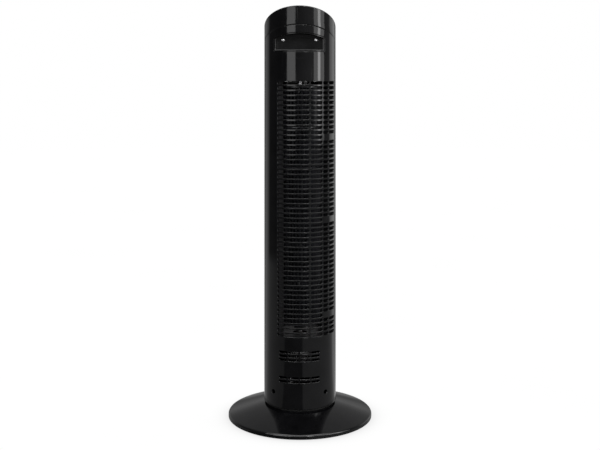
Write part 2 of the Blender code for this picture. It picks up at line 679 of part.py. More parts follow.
def make_duct():
    plate = rod("duct_floor", clear_radius(DUCT_FLOOR_Z + PLATE), DUCT_FLOOR_Z, DUCT_FOOT,
                MATT_BLACK, sides=30)
    cut(plate, rod("coupling_hole", 0.0120, 0, 1, sides=24))
    ceiling = rod("duct_ceiling", clear_radius(DUCT_CEILING_Z + PLATE), DUCT_CEILING_Z,
                  DUCT_CEILING_Z + PLATE, MATT_BLACK, sides=30)
    cut(ceiling, rod("bearing_seat", 0.0078 + GAP, 0, 1, sides=24))
    turned("top_bearing", ((0.0078, DUCT_CEILING_Z + 0.0055), (0.0078, DUCT_CEILING_Z - 0.0020),
                           (SHAFT_RADIUS + GAP, DUCT_CEILING_Z - 0.0020),
                           (SHAFT_RADIUS + GAP, DUCT_CEILING_Z + 0.0055)), BRONZE, sides=16)

    low, high = DUCT_FOOT + GAP, DUCT_CEILING_Z - GAP
    edge = clear_radius(DUCT_CEILING_Z) - 0.001
    near = IMPELLER_RADIUS + IMPELLER_CLEARANCE
    spread = edge - near
    scroll = [around(-40.0, edge), around(-40.0, near + 0.26 * spread)]
    for i in range(9):
        share = i / 8
        scroll.append(around(-44.0 - 94.0 * share, near + spread * share ** 1.3))
    sheet_wall("scroll_wall", [spot.xy for spot in scroll], low, high, 0.0016, MATT_BLACK)

    tongue = [around(bearing, near + share * spread) for bearing, share in TONGUE]
    sheet_wall("air_tongue", [spot.xy for spot in tongue], low, high, 0.0016, MATT_BLACK)


def make_impeller():
    section = (IMPELLER_HEAD - IMPELLER_FOOT - DISC) / IMPELLER_SECTIONS
    coupling = 0.0100
    rings = turned("impeller", ((IMPELLER_RADIUS, DISC), (IMPELLER_RADIUS, 0),
                                (IMPELLER_RADIUS - 0.011, 0), (IMPELLER_RADIUS - 0.011, DISC)),
                   WHEEL_BLACK, (0, 0, IMPELLER_FOOT + section), sides=20)
    stack(rings, IMPELLER_SECTIONS - 1, section)
    foot_disc = turned("impeller_foot", ((IMPELLER_RADIUS, DISC), (IMPELLER_RADIUS, 0),
                                         (coupling + GAP, 0), (coupling + GAP, DISC)),
                       at=(0, 0, IMPELLER_FOOT), sides=20)
    head_disc = turned("impeller_head", ((IMPELLER_RADIUS, DISC), (IMPELLER_RADIUS, 0),
                                         (SHAFT_RADIUS + GAP, 0), (SHAFT_RADIUS + GAP, DISC)),
                       at=(0, 0, IMPELLER_HEAD - DISC), sides=20)
    bm = bmesh.new()
    for i in range(IMPELLER_BLADES):
        made = bmesh.ops.create_cube(bm, size=1.0)["verts"]
        size = (BLADE_THICKNESS, BLADE_DEPTH, IMPELLER_HEAD - IMPELLER_FOOT - DISC)
        bmesh.ops.scale(bm, vec=size, verts=made)
        lean = Euler((0, 0, math.radians(BLADE_ANGLE))).to_matrix()
        bmesh.ops.rotate(bm, matrix=lean, verts=made)
        bmesh.ops.translate(bm, vec=(0, IMPELLER_RADIUS - BLADE_DEPTH / 2 - 0.0004, 0), verts=made)
        spin = Euler((0, 0, 2 * math.pi * i / IMPELLER_BLADES)).to_matrix()
        bmesh.ops.rotate(bm, matrix=spin, verts=made)
    blades = place("impeller_blades", mesh_from("impeller_blades", bm),
                   at=(0, 0, (IMPELLER_HEAD + IMPELLER_FOOT) / 2))
    join(rings, blades, foot_disc, head_disc)

    bore = SHAFT_RADIUS + GAP
    turned("impeller_coupling", ((coupling, IMPELLER_FOOT + 0.0045), (coupling, DUCT_FOOT + 0.005),
                                 (bore, DUCT_FOOT + 0.005), (bore, IMPELLER_FOOT + 0.0045)),
           RUBBER, sides=16)
    rod("upper_shaft", SHAFT_RADIUS, IMPELLER_HEAD - 0.012, DUCT_CEILING_Z + 0.008, STEEL, sides=20)


# ---------------------------------------------------------------- motor

def make_motor():
    top = DUCT_FLOOR_Z - GAP
    foot = top - MOTOR_HEIGHT
    middle = (top + foot) / 2
    bearing = SHAFT_RADIUS + 0.0030
    bore = bearing + GAP
    shaft_bore = SHAFT_RADIUS + GAP
    inner = MOTOR_RADIUS - MOTOR_WALL
    turned("motor_cover", ((MOTOR_RADIUS, top), (MOTOR_RADIUS, middle + GAP), (inner, middle + GAP),
                           (inner, top - MOTOR_WALL), (bore, top - MOTOR_WALL), (bore, top)), STEEL)
    turned("motor_housing", ((bore, foot + MOTOR_WALL), (inner, foot + MOTOR_WALL), (inner, middle),
                             (MOTOR_RADIUS, middle), (MOTOR_RADIUS, foot), (bore, foot)), STEEL)
    core = ROTOR_RADIUS + 0.0005
    turned("stator_core", ((inner - GAP, middle + 0.009), (inner - GAP, middle - 0.009),
                           (core, middle - 0.009), (core, middle + 0.009)), STEEL)
    for name, low in (("upper_winding", middle + 0.0093), ("lower_winding", middle - 0.0176)):
        turned(name, ((inner - 0.002, low + 0.0083), (inner - 0.002, low),
                      (core + 0.0015, low), (core + 0.0015, low + 0.0083)), COPPER)
    turned("rotor", ((ROTOR_RADIUS, middle + 0.0105), (ROTOR_RADIUS, middle - 0.0105),
                     (shaft_bore, middle - 0.0105), (shaft_bore, middle + 0.0105)), STEEL, sides=24)
    for name, low in (("motor_bearing_upper", top - 0.005), ("motor_bearing_lower", foot)):
        turned(name, ((bearing, low + 0.005), (bearing, low), (shaft_bore, low),
                      (shaft_bore, low + 0.005)), BRONZE, sides=16)
    rod("motor_shaft", SHAFT_RADIUS, foot - 0.004, IMPELLER_FOOT + 0.006, STEEL, sides=20)


# ---------------------------------------------------------------- cap and controls

TILTED = (TOP_TILT, 0, 0)
STRETCH = math.sqrt(1 + TOP_SLOPE ** 2)


def oval(name, radius, low, high, finish=None):
    """A disc in the cap's slope, as much longer up the slope as the column's cut is."""
    half = column_radius(TOP_Z) - PANEL_MARGIN
    turns = [2 * math.pi * i / 40 for i in range(40)]
    shape = [((half + radius) * math.cos(t), (half * STRETCH + radius) * math.sin(t))
             for t in turns]
    return outline_solid(name, shape, low, high, finish, TILTED, (0, 0, TOP_Z))


def make_cap():
    foot, head = SEAM_Z - 0.05, OVERALL_HEIGHT + 0.02
    roof = (PANEL_THICKNESS + GAP + LEDGE_THICKNESS) * STRETCH
    cap = rod("top_cap", column_radius(foot), foot, head, GLOSS_BLACK, sides=30,
              turn=(0, 0, math.radians(FACET / 2)), top=column_radius(head))
    hollow = rod("cap_hollow", column_radius(foot) - WALL, foot - 0.01, head, sides=30,
                 turn=(0, 0, math.radians(FACET / 2)), top=column_radius(head) - WALL)
    cut(hollow, above_slope("cap_roof", TOP_Z - roof, TOP_TILT))
    cut(cap, above_slope("cap_top", TOP_Z, TOP_TILT), below_slope("cap_seam", SEAM_Z, SEAM_TILT),
        hollow, oval("panel_recess", 0.0, -PANEL_THICKNESS - GAP, 0.01),
        oval("panel_opening", -LEDGE, -0.02, 0.01))

    panel = oval("control_panel", -GAP, -PANEL_THICKNESS, 0.0, MATT_BLACK)
    for i, name in enumerate(KEY_NAMES):
        across = (i - (len(KEY_NAMES) - 1) / 2) * KEY_PITCH
        spot = on_top(across, KEY_ROW, 0)
        half_w, half_l = KEY_WIDTH / 2, KEY_LENGTH / 2
        cut(panel, block(f"key_hole_{name}", (-half_w - GAP, -half_l - GAP, -0.02),
                         (half_w + GAP, half_l + GAP, 0.02), at=spot, turn=TILTED))
        key = block(f"key_{name}", (-half_w, -half_l, -0.009), (half_w, half_l, KEY_PROUD),
                    KEY_GREY, spot, TILTED)
        soft = key.modifiers.new("soft_edges", "BEVEL")
        soft.width = 0.0008
        soft.segments = 1
        soft.limit_method = "ANGLE"

    spot = on_top(0, KNOB_ROW, 0)
    cut(panel, rod("knob_hole", 0.0036, -0.02, 0.02, at=spot, turn=TILTED, sides=20))
    turned("timer_knob", ((0.0, KNOB_HEIGHT), (KNOB_RADIUS - 0.0025, KNOB_HEIGHT),
                          (KNOB_RADIUS - 0.001, KNOB_HEIGHT - 0.0012), (KNOB_RADIUS, 0.0006),
                          (0.0030, 0.0006), (0.0030, -0.0045), (0.0, -0.0045)),
           KEY_GREY, spot, TILTED, sides=24, closed=False)
    timer = rod("timer_body", 0.0135, -0.0180, -0.0050, WHITE_PLASTIC, spot, TILTED)
    collar = rod("timer_collar", 0.0060, -0.0060, -PANEL_THICKNESS - GAP, at=spot, turn=TILTED)
    collar_bore = rod("timer_bore", 0.0036, -0.0050, 0.01, at=spot, turn=TILTED, sides=20)
    join(timer, collar)
    cut(timer, collar_bore)

    row_end = (len(KEY_NAMES) - 1) / 2 * KEY_PITCH + KEY_WIDTH / 2
    deck = -0.009 - KEY_TRAVEL - 2 * GAP
    spot = on_top(0, KEY_ROW, 0)
    switches = block("switch_block", (-row_end - 0.0040, -0.0065, deck - 0.0125),
                     (row_end + 0.0040, 0.0065, deck), MATT_BLACK, spot, TILTED)
    for side in (-1, 1):
        ends = sorted((side * (row_end + 0.0008), side * (row_end + 0.0038)))
        join(switches, block(f"switch_leg_{'right' if side < 0 else 'left'}",
                             (ends[0], -0.0040, deck - 0.001),
                             (ends[1], 0.0040, -PANEL_THICKNESS - GAP), at=spot, turn=TILTED))


make_base()
make_column_floor()
make_swing_drive()
make_rear_shell()
make_front_shell()
make_handle_pocket()
make_duct()
make_impeller()
make_motor()
make_cap()
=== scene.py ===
import math

import bmesh
import bpy
import numpy as np
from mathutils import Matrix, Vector
from mathutils.geometry import delaunay_2d_cdt


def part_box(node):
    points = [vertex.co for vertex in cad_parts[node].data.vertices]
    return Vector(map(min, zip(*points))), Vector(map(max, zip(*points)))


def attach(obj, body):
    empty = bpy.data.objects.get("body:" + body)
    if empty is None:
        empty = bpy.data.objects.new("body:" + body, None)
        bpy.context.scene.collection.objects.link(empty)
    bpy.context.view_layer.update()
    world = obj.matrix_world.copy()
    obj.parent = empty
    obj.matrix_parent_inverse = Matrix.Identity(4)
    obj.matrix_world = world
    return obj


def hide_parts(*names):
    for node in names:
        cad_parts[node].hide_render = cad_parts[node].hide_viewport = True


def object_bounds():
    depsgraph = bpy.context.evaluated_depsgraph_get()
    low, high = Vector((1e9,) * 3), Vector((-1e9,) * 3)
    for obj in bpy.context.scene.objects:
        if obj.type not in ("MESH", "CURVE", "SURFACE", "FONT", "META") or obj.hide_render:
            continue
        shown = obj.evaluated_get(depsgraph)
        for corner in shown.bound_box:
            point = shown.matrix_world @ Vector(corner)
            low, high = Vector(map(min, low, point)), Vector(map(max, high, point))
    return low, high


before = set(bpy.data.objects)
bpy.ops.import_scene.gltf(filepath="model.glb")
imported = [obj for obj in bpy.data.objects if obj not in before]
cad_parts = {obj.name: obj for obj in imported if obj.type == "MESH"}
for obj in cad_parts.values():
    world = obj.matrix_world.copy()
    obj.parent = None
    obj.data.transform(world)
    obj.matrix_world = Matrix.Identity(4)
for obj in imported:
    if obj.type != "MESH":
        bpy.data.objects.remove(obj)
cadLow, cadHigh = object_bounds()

# Metres, +Z up, origin under the middle of the base. The fan blows towards -Y, so its intake side faces +Y.
# A bearing is in degrees round the column from the middle of its back, positive towards -X.

column = {
    "headRadius": 0.0597,
    "topSlope": 0.54,        # rise over run of the cap's top
    "seamSlope": 0.488,      # and of the joint under the cap
    "capHeight": 0.0277,     # at the column's axis
    "seamBearing": 72.0,     # joint between the two shells
    "seamGap": 0.0003,
    "wall": 0.0025,
}
footHeight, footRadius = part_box("rear_shell")[0].z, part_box("rear_shell")[1].y
topHeight = cadHigh.z - column["topSlope"] * column["headRadius"]
seamHeight = topHeight - column["capHeight"]


def columnRadius(height):
    # a straight taper from the foot to the top
    share = (height - footHeight) / (topHeight - footHeight)
    return footRadius + share * (column["headRadius"] - footRadius)


def wrap(bearing, height, depth=0.0):
    # a point of the column's skin: the tapered radius less the depth, turned to its bearing
    turn = np.radians(bearing)
    radius = columnRadius(height) - depth
    return np.stack(np.broadcast_arrays(-radius * np.sin(turn), radius * np.cos(turn), height), -1)


def seamLine(bearing):
    # height of the joint under the cap: a slanting plane that cuts the column
    return seamHeight + column["seamSlope"] * column["headRadius"] * np.cos(np.radians(bearing))


# materials

def nodeMaterial(name):
    made = bpy.data.materials.new(name)
    made.use_nodes = True
    tree = made.node_tree
    return made, tree, tree.nodes["Principled BSDF"]


def add(tree, kind, **settings):
    # one node with its settings
    node = tree.nodes.new(kind)
    for key, value in settings.items():
        setattr(node, key, value)
    return node


def noise(tree, scale, detail=3.0, roughness=0.55, stretch=(1.0, 1.0, 1.0)):
    # a noise pattern fixed to the piece; stretch squeezes it along each axis
    where = add(tree, "ShaderNodeTexCoord")
    placed = add(tree, "ShaderNodeMapping")
    placed.inputs["Scale"].default_value = stretch
    tree.links.new(where.outputs["Object"], placed.inputs["Vector"])
    pattern = add(tree, "ShaderNodeTexNoise")
    pattern.inputs["Scale"].default_value = scale
    pattern.inputs["Detail"].default_value = detail
    pattern.inputs["Roughness"].default_value = roughness
    tree.links.new(placed.outputs["Vector"], pattern.inputs["Vector"])
    return pattern.outputs["Fac"]


def ramp(tree, source, low, high, fromValue=0.35, toValue=0.65):
    # carries a pattern's middle range to the range that is wanted
    change = add(tree, "ShaderNodeMapRange")
    change.inputs["From Min"].default_value = fromValue
    change.inputs["From Max"].default_value = toValue
    change.inputs["To Min"].default_value = low
    change.inputs["To Max"].default_value = high
    tree.links.new(source, change.inputs["Value"])
    return change.outputs["Result"]


def mixColours(tree, share, first, second):
    # from the first colour to the second; either may be a socket or three numbers
    blend = add(tree, "ShaderNodeMix", data_type="RGBA")
    tree.links.new(share, blend.inputs["Factor"])
    for socket, value in (("A", first), ("B", second)):
        target = [i for i in blend.inputs if i.name == socket and i.type == "RGBA"][0]
        if isinstance(value, tuple):
            target.default_value = (*value, 1.0)
        else:
            tree.links.new(value, target)
    return [o for o in blend.outputs if o.type == "RGBA"][0]


def combine(tree, first, second, operation="ADD"):
    # a sum, or another operation, of a socket and a second socket or a number
    step = add(tree, "ShaderNodeMath", operation=operation)
    tree.links.new(first, step.inputs[0])
    if isinstance(second, (int, float)):
        step.inputs[1].default_value = second
    else:
        tree.links.new(second, step.inputs[1])
    return step.outputs["Value"]


finishes = {
    "gloss_black": {"dark": (0.0016, 0.0016, 0.0019), "light": (0.0034, 0.0034, 0.0039),
                    "rough": (0.055, 0.12), "grain": 900.0, "bump": 0.000006, "scratch": 0.22, "dust": 0.05},
    "matt_black": {"dark": (0.010, 0.010, 0.011), "light": (0.020, 0.020, 0.021), "rough": (0.34, 0.50),
                   "grain": 2600.0, "bump": 0.00004, "scratch": 0.10, "dust": 0.06},
    # wheel_black: the wheel's black, darkened further so that the inside of the column reads black through
    # the slots: partly its own colour, partly painted shade
    "wheel_black": {"dark": (0.012, 0.012, 0.014), "light": (0.024, 0.024, 0.028), "rough": (0.15, 0.26),
                    "grain": 1800.0, "bump": 0.00003, "scratch": 0.05, "dust": 0.25},
    # pocket_black: the handle pocket's black, darker than matt_black; the plastic's own black, darkened
    # further as painted shade inside the recess
    "pocket_black": {"dark": (0.0022, 0.0022, 0.0024), "light": (0.0050, 0.0050, 0.0052),
                     "rough": (0.13, 0.24), "grain": 2000.0, "bump": 0.00002, "scratch": 0.25, "dust": 0.05},
    "glide_black": {"dark": (0.004, 0.004, 0.004), "light": (0.009, 0.009, 0.009), "rough": (0.40, 0.60),
                    "grain": 2600.0, "bump": 0.00002, "scratch": 0.05, "dust": 0.10},
    "key_grey": {"dark": (0.060, 0.060, 0.063), "light": (0.085, 0.085, 0.088), "rough": (0.32, 0.46),
                 "grain": 2400.0, "bump": 0.00003, "scratch": 0.10, "dust": 0.04},
    "white_plastic": {"dark": (0.62, 0.61, 0.57), "light": (0.74, 0.73, 0.69), "rough": (0.35, 0.50),
                      "grain": 1500.0, "bump": 0.00002, "scratch": 0.08, "dust": 0.10},
    "rubber": {"dark": (0.014, 0.014, 0.014), "light": (0.030, 0.030, 0.030), "rough": (0.62, 0.85),
               "grain": 3200.0, "bump": 0.00006, "scratch": 0.0, "dust": 0.25},
    "steel": {"dark": (0.42, 0.42, 0.43), "light": (0.58, 0.58, 0.59), "rough": (0.22, 0.38), "metal": 1.0,
              "grain": 1600.0, "bump": 0.00001, "scratch": 0.3, "dust": 0.05},
    "screw_steel": {"dark": (0.62, 0.62, 0.63), "light": (0.80, 0.80, 0.81), "rough": (0.14, 0.26),
                    "metal": 1.0, "grain": 1600.0, "bump": 0.00001, "scratch": 0.25, "dust": 0.02},
    "copper": {"dark": (0.50, 0.20, 0.09), "light": (0.72, 0.36, 0.18), "rough": (0.25, 0.42), "metal": 1.0,
               "grain": 2200.0, "bump": 0.00008, "scratch": 0.0, "dust": 0.05},
    "bronze": {"dark": (0.38, 0.26, 0.12), "light": (0.56, 0.41, 0.21), "rough": (0.35, 0.55), "metal": 1.0,
               "grain": 3000.0, "bump": 0.00004, "scratch": 0.0, "dust": 0.08},
}
marring = {
    "dustColour": (0.30, 0.29, 0.28),
    "mottleScale": 38.0,
    "dustScale": 1500.0,
    "smudgeScale": 16.0,
    "hairScale": 260.0,
    "crossHairScale": 330.0,
    "hairDulling": 0.5,
    "dustDulling": 1.5,
    "hairDepth": -1.5,       # against the grain's height
}


def mouldedFinish(name, dark, light, rough, grain, bump, scratch, dust, metal=0.0):
    # moulded or turned stock: mottled colour, uneven gloss, a fine grain, hairline scratches, specks of dust
    made, tree, shader = nodeMaterial(name)
    shader.inputs["Metallic"].default_value = metal
    mottle = ramp(tree, noise(tree, marring["mottleScale"], 4.0), 0.0, 1.0)
    colour = mixColours(tree, mottle, dark, light)
    speck = ramp(tree, noise(tree, marring["dustScale"], 1.0), 0.0, dust, 0.70, 0.78)
    tree.links.new(mixColours(tree, speck, colour, marring["dustColour"]), shader.inputs["Base Color"])
    smudge = ramp(tree, noise(tree, marring["smudgeScale"], 5.0, 0.6), rough[0], rough[1], 0.38, 0.66)
    hairs = noise(tree, marring["hairScale"], 2.0, 0.5, (1.0, 1.0, 0.035))
    crossHairs = noise(tree, marring["crossHairScale"], 2.0, 0.5, (0.05, 1.0, 1.0))
    lines = combine(tree, ramp(tree, hairs, 0.0, scratch, 0.66, 0.72),
                    ramp(tree, crossHairs, 0.0, scratch, 0.68, 0.74))
    dulled = combine(tree, smudge, combine(tree, lines, marring["hairDulling"], "MULTIPLY"))
    dusted = combine(tree, dulled, combine(tree, speck, marring["dustDulling"], "MULTIPLY"))
    tree.links.new(dusted, shader.inputs["Roughness"])
    height = combine(tree, noise(tree, grain, 2.0), combine(tree, lines, marring["hairDepth"], "MULTIPLY"))
    relief = add(tree, "ShaderNodeBump")
    relief.inputs["Distance"].default_value = bump
    relief.inputs["Strength"].default_value = 1.0
    tree.links.new(height, relief.inputs["Height"])
    tree.links.new(relief.outputs["Normal"], shader.inputs["Normal"])
    return made


materials = {name: mouldedFinish(name, **values) for name, values in finishes.items()}
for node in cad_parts.values():
    for socket in node.material_slots:
        socket.material = materials[socket.material.name.split(".")[0]]
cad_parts["glide_ring"].material_slots[0].material = materials["glide_black"]
print("materials made")


# meshes

def gridFaces(rows, columns, closeRows=False, closeColumns=False):
    # corner numbers of every cell of a grid, with the last row or column joined to the first if it closes
    r = np.arange(rows if closeRows else rows - 1)[:, None]
    c = np.arange(columns if closeColumns else columns - 1)[None, :]
    r2, c2 = (r + 1) % rows, (c + 1) % columns
    corners = np.broadcast_arrays(r * columns + c, r * columns + c2, r2 * columns + c2, r2 * columns + c)
    return np.stack(corners, -1).reshape(-1, 4)


def sheet(points, closeRows=False, closeColumns=False, flip=False):
    # a patch: points on a grid, and the faces between them
    faces = gridFaces(points.shape[0], points.shape[1], closeRows, closeColumns)
    return points.reshape(-1, 3), faces[:, ::-1] if flip else faces


def cap(points, flip=False):
    # one flat face over a closed line of points
    face = np.arange(len(points))
    return points, [face[::-1] if flip else face]


def makePiece(name, patches, body, slot, replaced=(), material=None, smoothAngle=35.0, merge=1e-6):
    # joins the patches where they meet, and hangs the piece on its body
    points = np.concatenate([p for p, _ in patches])
    starts = np.cumsum([0] + [len(p) for p, _ in patches])
    faces = [tuple(int(i) for i in face + start)
             for (_, group), start in zip(patches, starts) for face in group]
    mesh = bpy.data.meshes.new(name)
    mesh.from_pydata(points.tolist(), [], faces)
    piece = bpy.data.objects.new(name, mesh)
    bpy.context.scene.collection.objects.link(piece)
    mergePoints(mesh, merge)
    mesh.shade_smooth()
    mesh.set_sharp_from_angle(angle=math.radians(smoothAngle))
    mesh.materials.append(material or materials[slot])
    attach(piece, body)
    if replaced:
        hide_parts(*replaced)
    return piece


def mergePoints(mesh, distance):
    # points closer than the distance become one
    bm = bmesh.new()
    bm.from_mesh(mesh)
    bmesh.ops.remove_doubles(bm, verts=bm.verts, dist=distance)
    bm.to_mesh(mesh)
    bm.free()


def thicken(piece, thickness):
    # gives an open skin a wall on its inner side
    wall = piece.modifiers.new("wall", "SOLIDIFY")
    wall.thickness = thickness
    wall.offset = -1.0
    wall.use_even_offset = True


def roundEdges(piece, width):
    soft = piece.modifiers.new("roundEdges", "BEVEL")
    soft.width = width
    soft.segments = 2
    soft.limit_method = "ANGLE"
    soft.angle_limit = math.radians(40.0)
    soft.harden_normals = True


def turned(profile, sides=96, centre=(0.0, 0.0, 0.0), closed=False, start=0.0, end=360.0):
    # a profile of (radius, height) carried round an upright axis
    profile = np.asarray(profile, float)
    whole = end - start >= 360.0
    turn = np.radians(np.linspace(start, end, sides, endpoint=not whole))[:, None]
    points = np.stack([profile[:, 0] * np.cos(turn), profile[:, 0] * np.sin(turn),
                       profile[:, 1] + 0 * turn], -1) + np.array(centre)
    return sheet(points, closeRows=whole, closeColumns=closed)


def steps(start, end, pitch):
    # evenly spaced values from start to end, no further apart than pitch
    return np.linspace(start, end, max(2, int(math.ceil(abs(end - start) / pitch)) + 1))


def zipStrip(low, high):
    # triangles between two lines of (bearing, height) whose points needn't face each other
    lowNext = np.stack([low[1:, 0], np.zeros(len(low) - 1)], -1)
    highNext = np.stack([high[1:, 0], np.ones(len(high) - 1)], -1)
    order = np.concatenate([lowNext, highNext])
    order = order[np.lexsort((order[:, 1], order[:, 0]))]
    isHigh = order[:, 1] > 0.5
    i = np.concatenate([[0], np.cumsum(~isHigh)[:-1]])
    j = np.concatenate([[0], np.cumsum(isHigh)[:-1]]) + len(low)
    third = np.where(isHigh, j + 1, i + 1)
    both = np.concatenate([low, high])
    return wrap(both[:, 0], both[:, 1]), np.stack([i, third, j], -1)


def plainPatch(bearings, heights):
    # a piece of the column's skin; heights may be one list, or a grid of (height, bearing)
    heights = np.asarray(heights, float)
    if heights.ndim == 1:
        heights = heights[:, None]
    return sheet(wrap(np.asarray(bearings)[None, :], heights))


def holePatch(hole, cell):
    # the skin between an opening and the outline of its cell, both lists of (bearing, height) that pair up
    rings = np.stack([wrap(line[:, 0], line[:, 1]) for line in (hole, cell)])
    return sheet(rings, closeColumns=True, flip=True)


def slotOutlines(slot, cell, corner, pitch):
    # slot and cell are (first bearing, last bearing, foot, head); both outlines run anticlockwise from the
    # right. The slot has round corners; the cell's points pair up with the slot's, one by one.
    left, right, foot, head = slot
    cellLeft, cellRight, cellFoot, cellHead = cell
    wide = math.degrees(corner / column["headRadius"])
    inLeft, inRight, inFoot, inHead = left + wide, right - wide, foot + corner, head - corner
    arc = np.radians(np.linspace(0.0, 90.0, 5))
    across, up = wide * np.cos(arc), corner * np.sin(arc)
    span = steps(inRight, inLeft, pitch)[1:-1]
    flat = np.ones_like(span)
    hole = np.concatenate([
        np.stack([inRight + across, inHead + up], -1), np.stack([span, head * flat], -1),
        np.stack([inLeft - across[::-1], inHead + up[::-1]], -1),
        np.stack([inLeft - across, inFoot - up], -1), np.stack([span[::-1], foot * flat], -1),
        np.stack([inRight + across[::-1], inFoot - up[::-1]], -1)])

    def cornerLine(sideB, sideZ, innerB, innerZ):
        return np.array([(sideB, innerZ), (sideB, (innerZ + sideZ) / 2), (sideB, sideZ),
                         ((innerB + sideB) / 2, sideZ), (innerB, sideZ)])

    outline = np.concatenate([
        cornerLine(cellRight, cellHead, inRight, inHead), np.stack([span, cellHead * flat], -1),
        cornerLine(cellLeft, cellHead, inLeft, inHead)[::-1],
        cornerLine(cellLeft, cellFoot, inLeft, inFoot), np.stack([span[::-1], cellFoot * flat], -1),
        cornerLine(cellRight, cellFoot, inRight, inFoot)[::-1]])
    return hole, outline


def edgeBearings(outline, height):
    # the bearings of an outline's points at one height, in order
    return np.unique(np.round(outline[np.abs(outline[:, 1] - height) < 1e-9, 0], 9))


def edgeHeights(outline, bearing):
    # and the heights of its points at one bearing
    return np.unique(np.round(outline[np.abs(outline[:, 0] - bearing) < 1e-9, 1], 12))


def perforatedBand(bays, bounds, foot, pitch, rows, slotFoot, slotHeight, corner, arcPitch, closed=None):
    # rows of slots side by side; bounds are the cells' edges, one more than bays, and closed maps a bay's
    # number to its shut rows
    patches, bearings, side = [], [bounds[0]], None
    for number, (left, right) in enumerate(bays):
        for row in range(rows):
            low = foot + row * pitch
            cell = (bounds[number], bounds[number + 1], low, low + pitch)
            hole, outline = slotOutlines((left, right, low + slotFoot, low + slotFoot + slotHeight), cell,
                                         corner, arcPitch)
            line = edgeBearings(outline, low)
            if closed and row in closed.get(number, ()):
                patches.append(plainPatch(line, edgeHeights(outline, cell[0])))
            else:
                patches.append(holePatch(hole, outline))
            if row == 0:
                bearings += list(line[1:])
                side = edgeHeights(outline, cell[0]) - low
    heights = np.unique(np.round((foot + pitch * np.arange(rows)[:, None] + side[None, :]).ravel(), 12))
    return patches, np.array(bearings), heights


# the rear shell

rearShell = {
    "slotPitch": 0.00814,
    "slotHeight": 0.0052,
    "slotCorner": 0.0023,
    "bays": ((-37.0, 15.7), (18.3, 39.0), (41.0, 52.4), (54.4, 70.4)),
    "ribs": (-38.0, 17.0, 40.0, 53.4),
    "grilleTop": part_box("duct_ceiling")[0].z - 0.0065,
    "grilleRows": 53,
    "closedRows": (11, 28, 48),      # pads, counted from the top
    "ventPitch": 0.0067,
    "ventHeight": 0.0034,
    "ventCorner": 0.0012,
    "ventBays": ((-33.5, -19.3), (-17.7, -0.9), (0.9, 17.7), (19.3, 33.5)),
    "ventRibs": (-34.5, -18.5, 0.0, 18.5, 34.5),
    "upperVents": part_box("duct_floor")[0].z - 0.0333,
    "lowerVents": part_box("duct_floor")[0].z - 0.0710,
    "wellBearing": 45.5,
    "wellRadius": 0.0038,
    "bossRadius": 0.0050,
    "screwHole": 0.0022,
    "wellDepth": 0.0120,
    "wellFloor": 0.0030,             # the wall that the screw's head rests on
    "wellBand": 0.0120,              # height of the strip of skin that the wells are cut in
    "wellBeside": 5.5,               # degrees from a well's middle to that strip's end
    "wellInner": 40.0,
    "edgeRounding": 0.0009,
    "facet": 2.2,                    # degrees between points along a slot
    "plainFacet": 2.4,               # and on the plain skin
}
pocket = {
    "corner": 0.0035,
    "foot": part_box("handle_pocket")[0].z - column["seamGap"],
    "crown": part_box("handle_pocket")[1].z + column["seamGap"],
    "halfWidth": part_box("handle_pocket")[1].x + column["seamGap"],
    "floor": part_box("pocket_screw_left")[0].y + 0.0077,     # where the screws' heads rest
    "wall": 0.0020,
    "below": 0.0050,
    "beside": 4.5,
}
grilleFoot = (rearShell["grilleTop"] + rearShell["slotPitch"] - rearShell["slotHeight"]
              - rearShell["grilleRows"] * rearShell["slotPitch"])
seamTurn = math.degrees(column["seamGap"] / column["headRadius"])
shellEdge = column["seamBearing"] - seamTurn
pocketBearing = math.degrees(math.asin(pocket["halfWidth"] / column["headRadius"]))


def slantDrop(bearing):
    # how far a line parallel to the joint under the cap has fallen, against its highest point
    return column["seamSlope"] * column["headRadius"] * (1.0 - np.cos(np.radians(bearing)))


def pocketOutlines(inset):
    # the pocket's outline and that of the skin round it: rounded oblongs whose upper part follows the joint
    # under the cap
    turn = math.degrees(inset / column["headRadius"])
    foot, crown = pocket["foot"] + inset, pocket["crown"] - inset
    half = pocketBearing - turn
    cellFoot, cellHead = pocket["foot"] - pocket["below"], seamLine(0.0) - column["seamGap"]
    cellHalf = pocketBearing + pocket["beside"]
    hole, cell = slotOutlines((-half, half, foot, crown), (-cellHalf, cellHalf, cellFoot, cellHead),
                              pocket["corner"] - inset, rearShell["facet"])
    share = (hole[:, 1] - foot) / (crown - foot)
    hole[:, 1] -= share * slantDrop(hole[:, 0])
    cellShare = (cell[:, 1] - cellFoot) / (cellHead - cellFoot)
    cell = np.stack([cell[:, 0], cell[:, 1] - cellShare * slantDrop(cell[:, 0])], -1)
    return hole, cell, np.unique(np.round(cellShare, 12)), cellFoot, cellHead, cellHalf


def lineAt(bearings, height):
    # a level line of (bearing, height)
    return np.stack(np.broadcast_arrays(bearings, height), -1)


def besides(bounds):
    # bearings of the plain skin on both sides of a band of openings
    facet = rearShell["plainFacet"]
    return steps(-shellEdge, bounds[0], facet), steps(bounds[-1], shellEdge, facet)


def skinBand(patches, bays, ribs, foot, pitch, rows, slotHeight, corner, closed=None):
    # a band of slots with plain skin beside it; gives the bearings along its lower and upper edges
    made, middle, heights = perforatedBand(bays, ribs, foot - (pitch - slotHeight) / 2, pitch, rows,
                                           (pitch - slotHeight) / 2, slotHeight, corner, rearShell["facet"],
                                           closed)
    patches += made
    left, right = besides(ribs)
    if left[0] < left[-1]:
        patches.append(plainPatch(left, heights))
    if right[-1] - right[0] > 0.01:
        patches.append(plainPatch(right, heights))
    else:
        right = right[:1]
    line = np.concatenate([left[:-1], middle, right[1:]])
    return lineAt(line, heights[0]), lineAt(line, heights[-1])


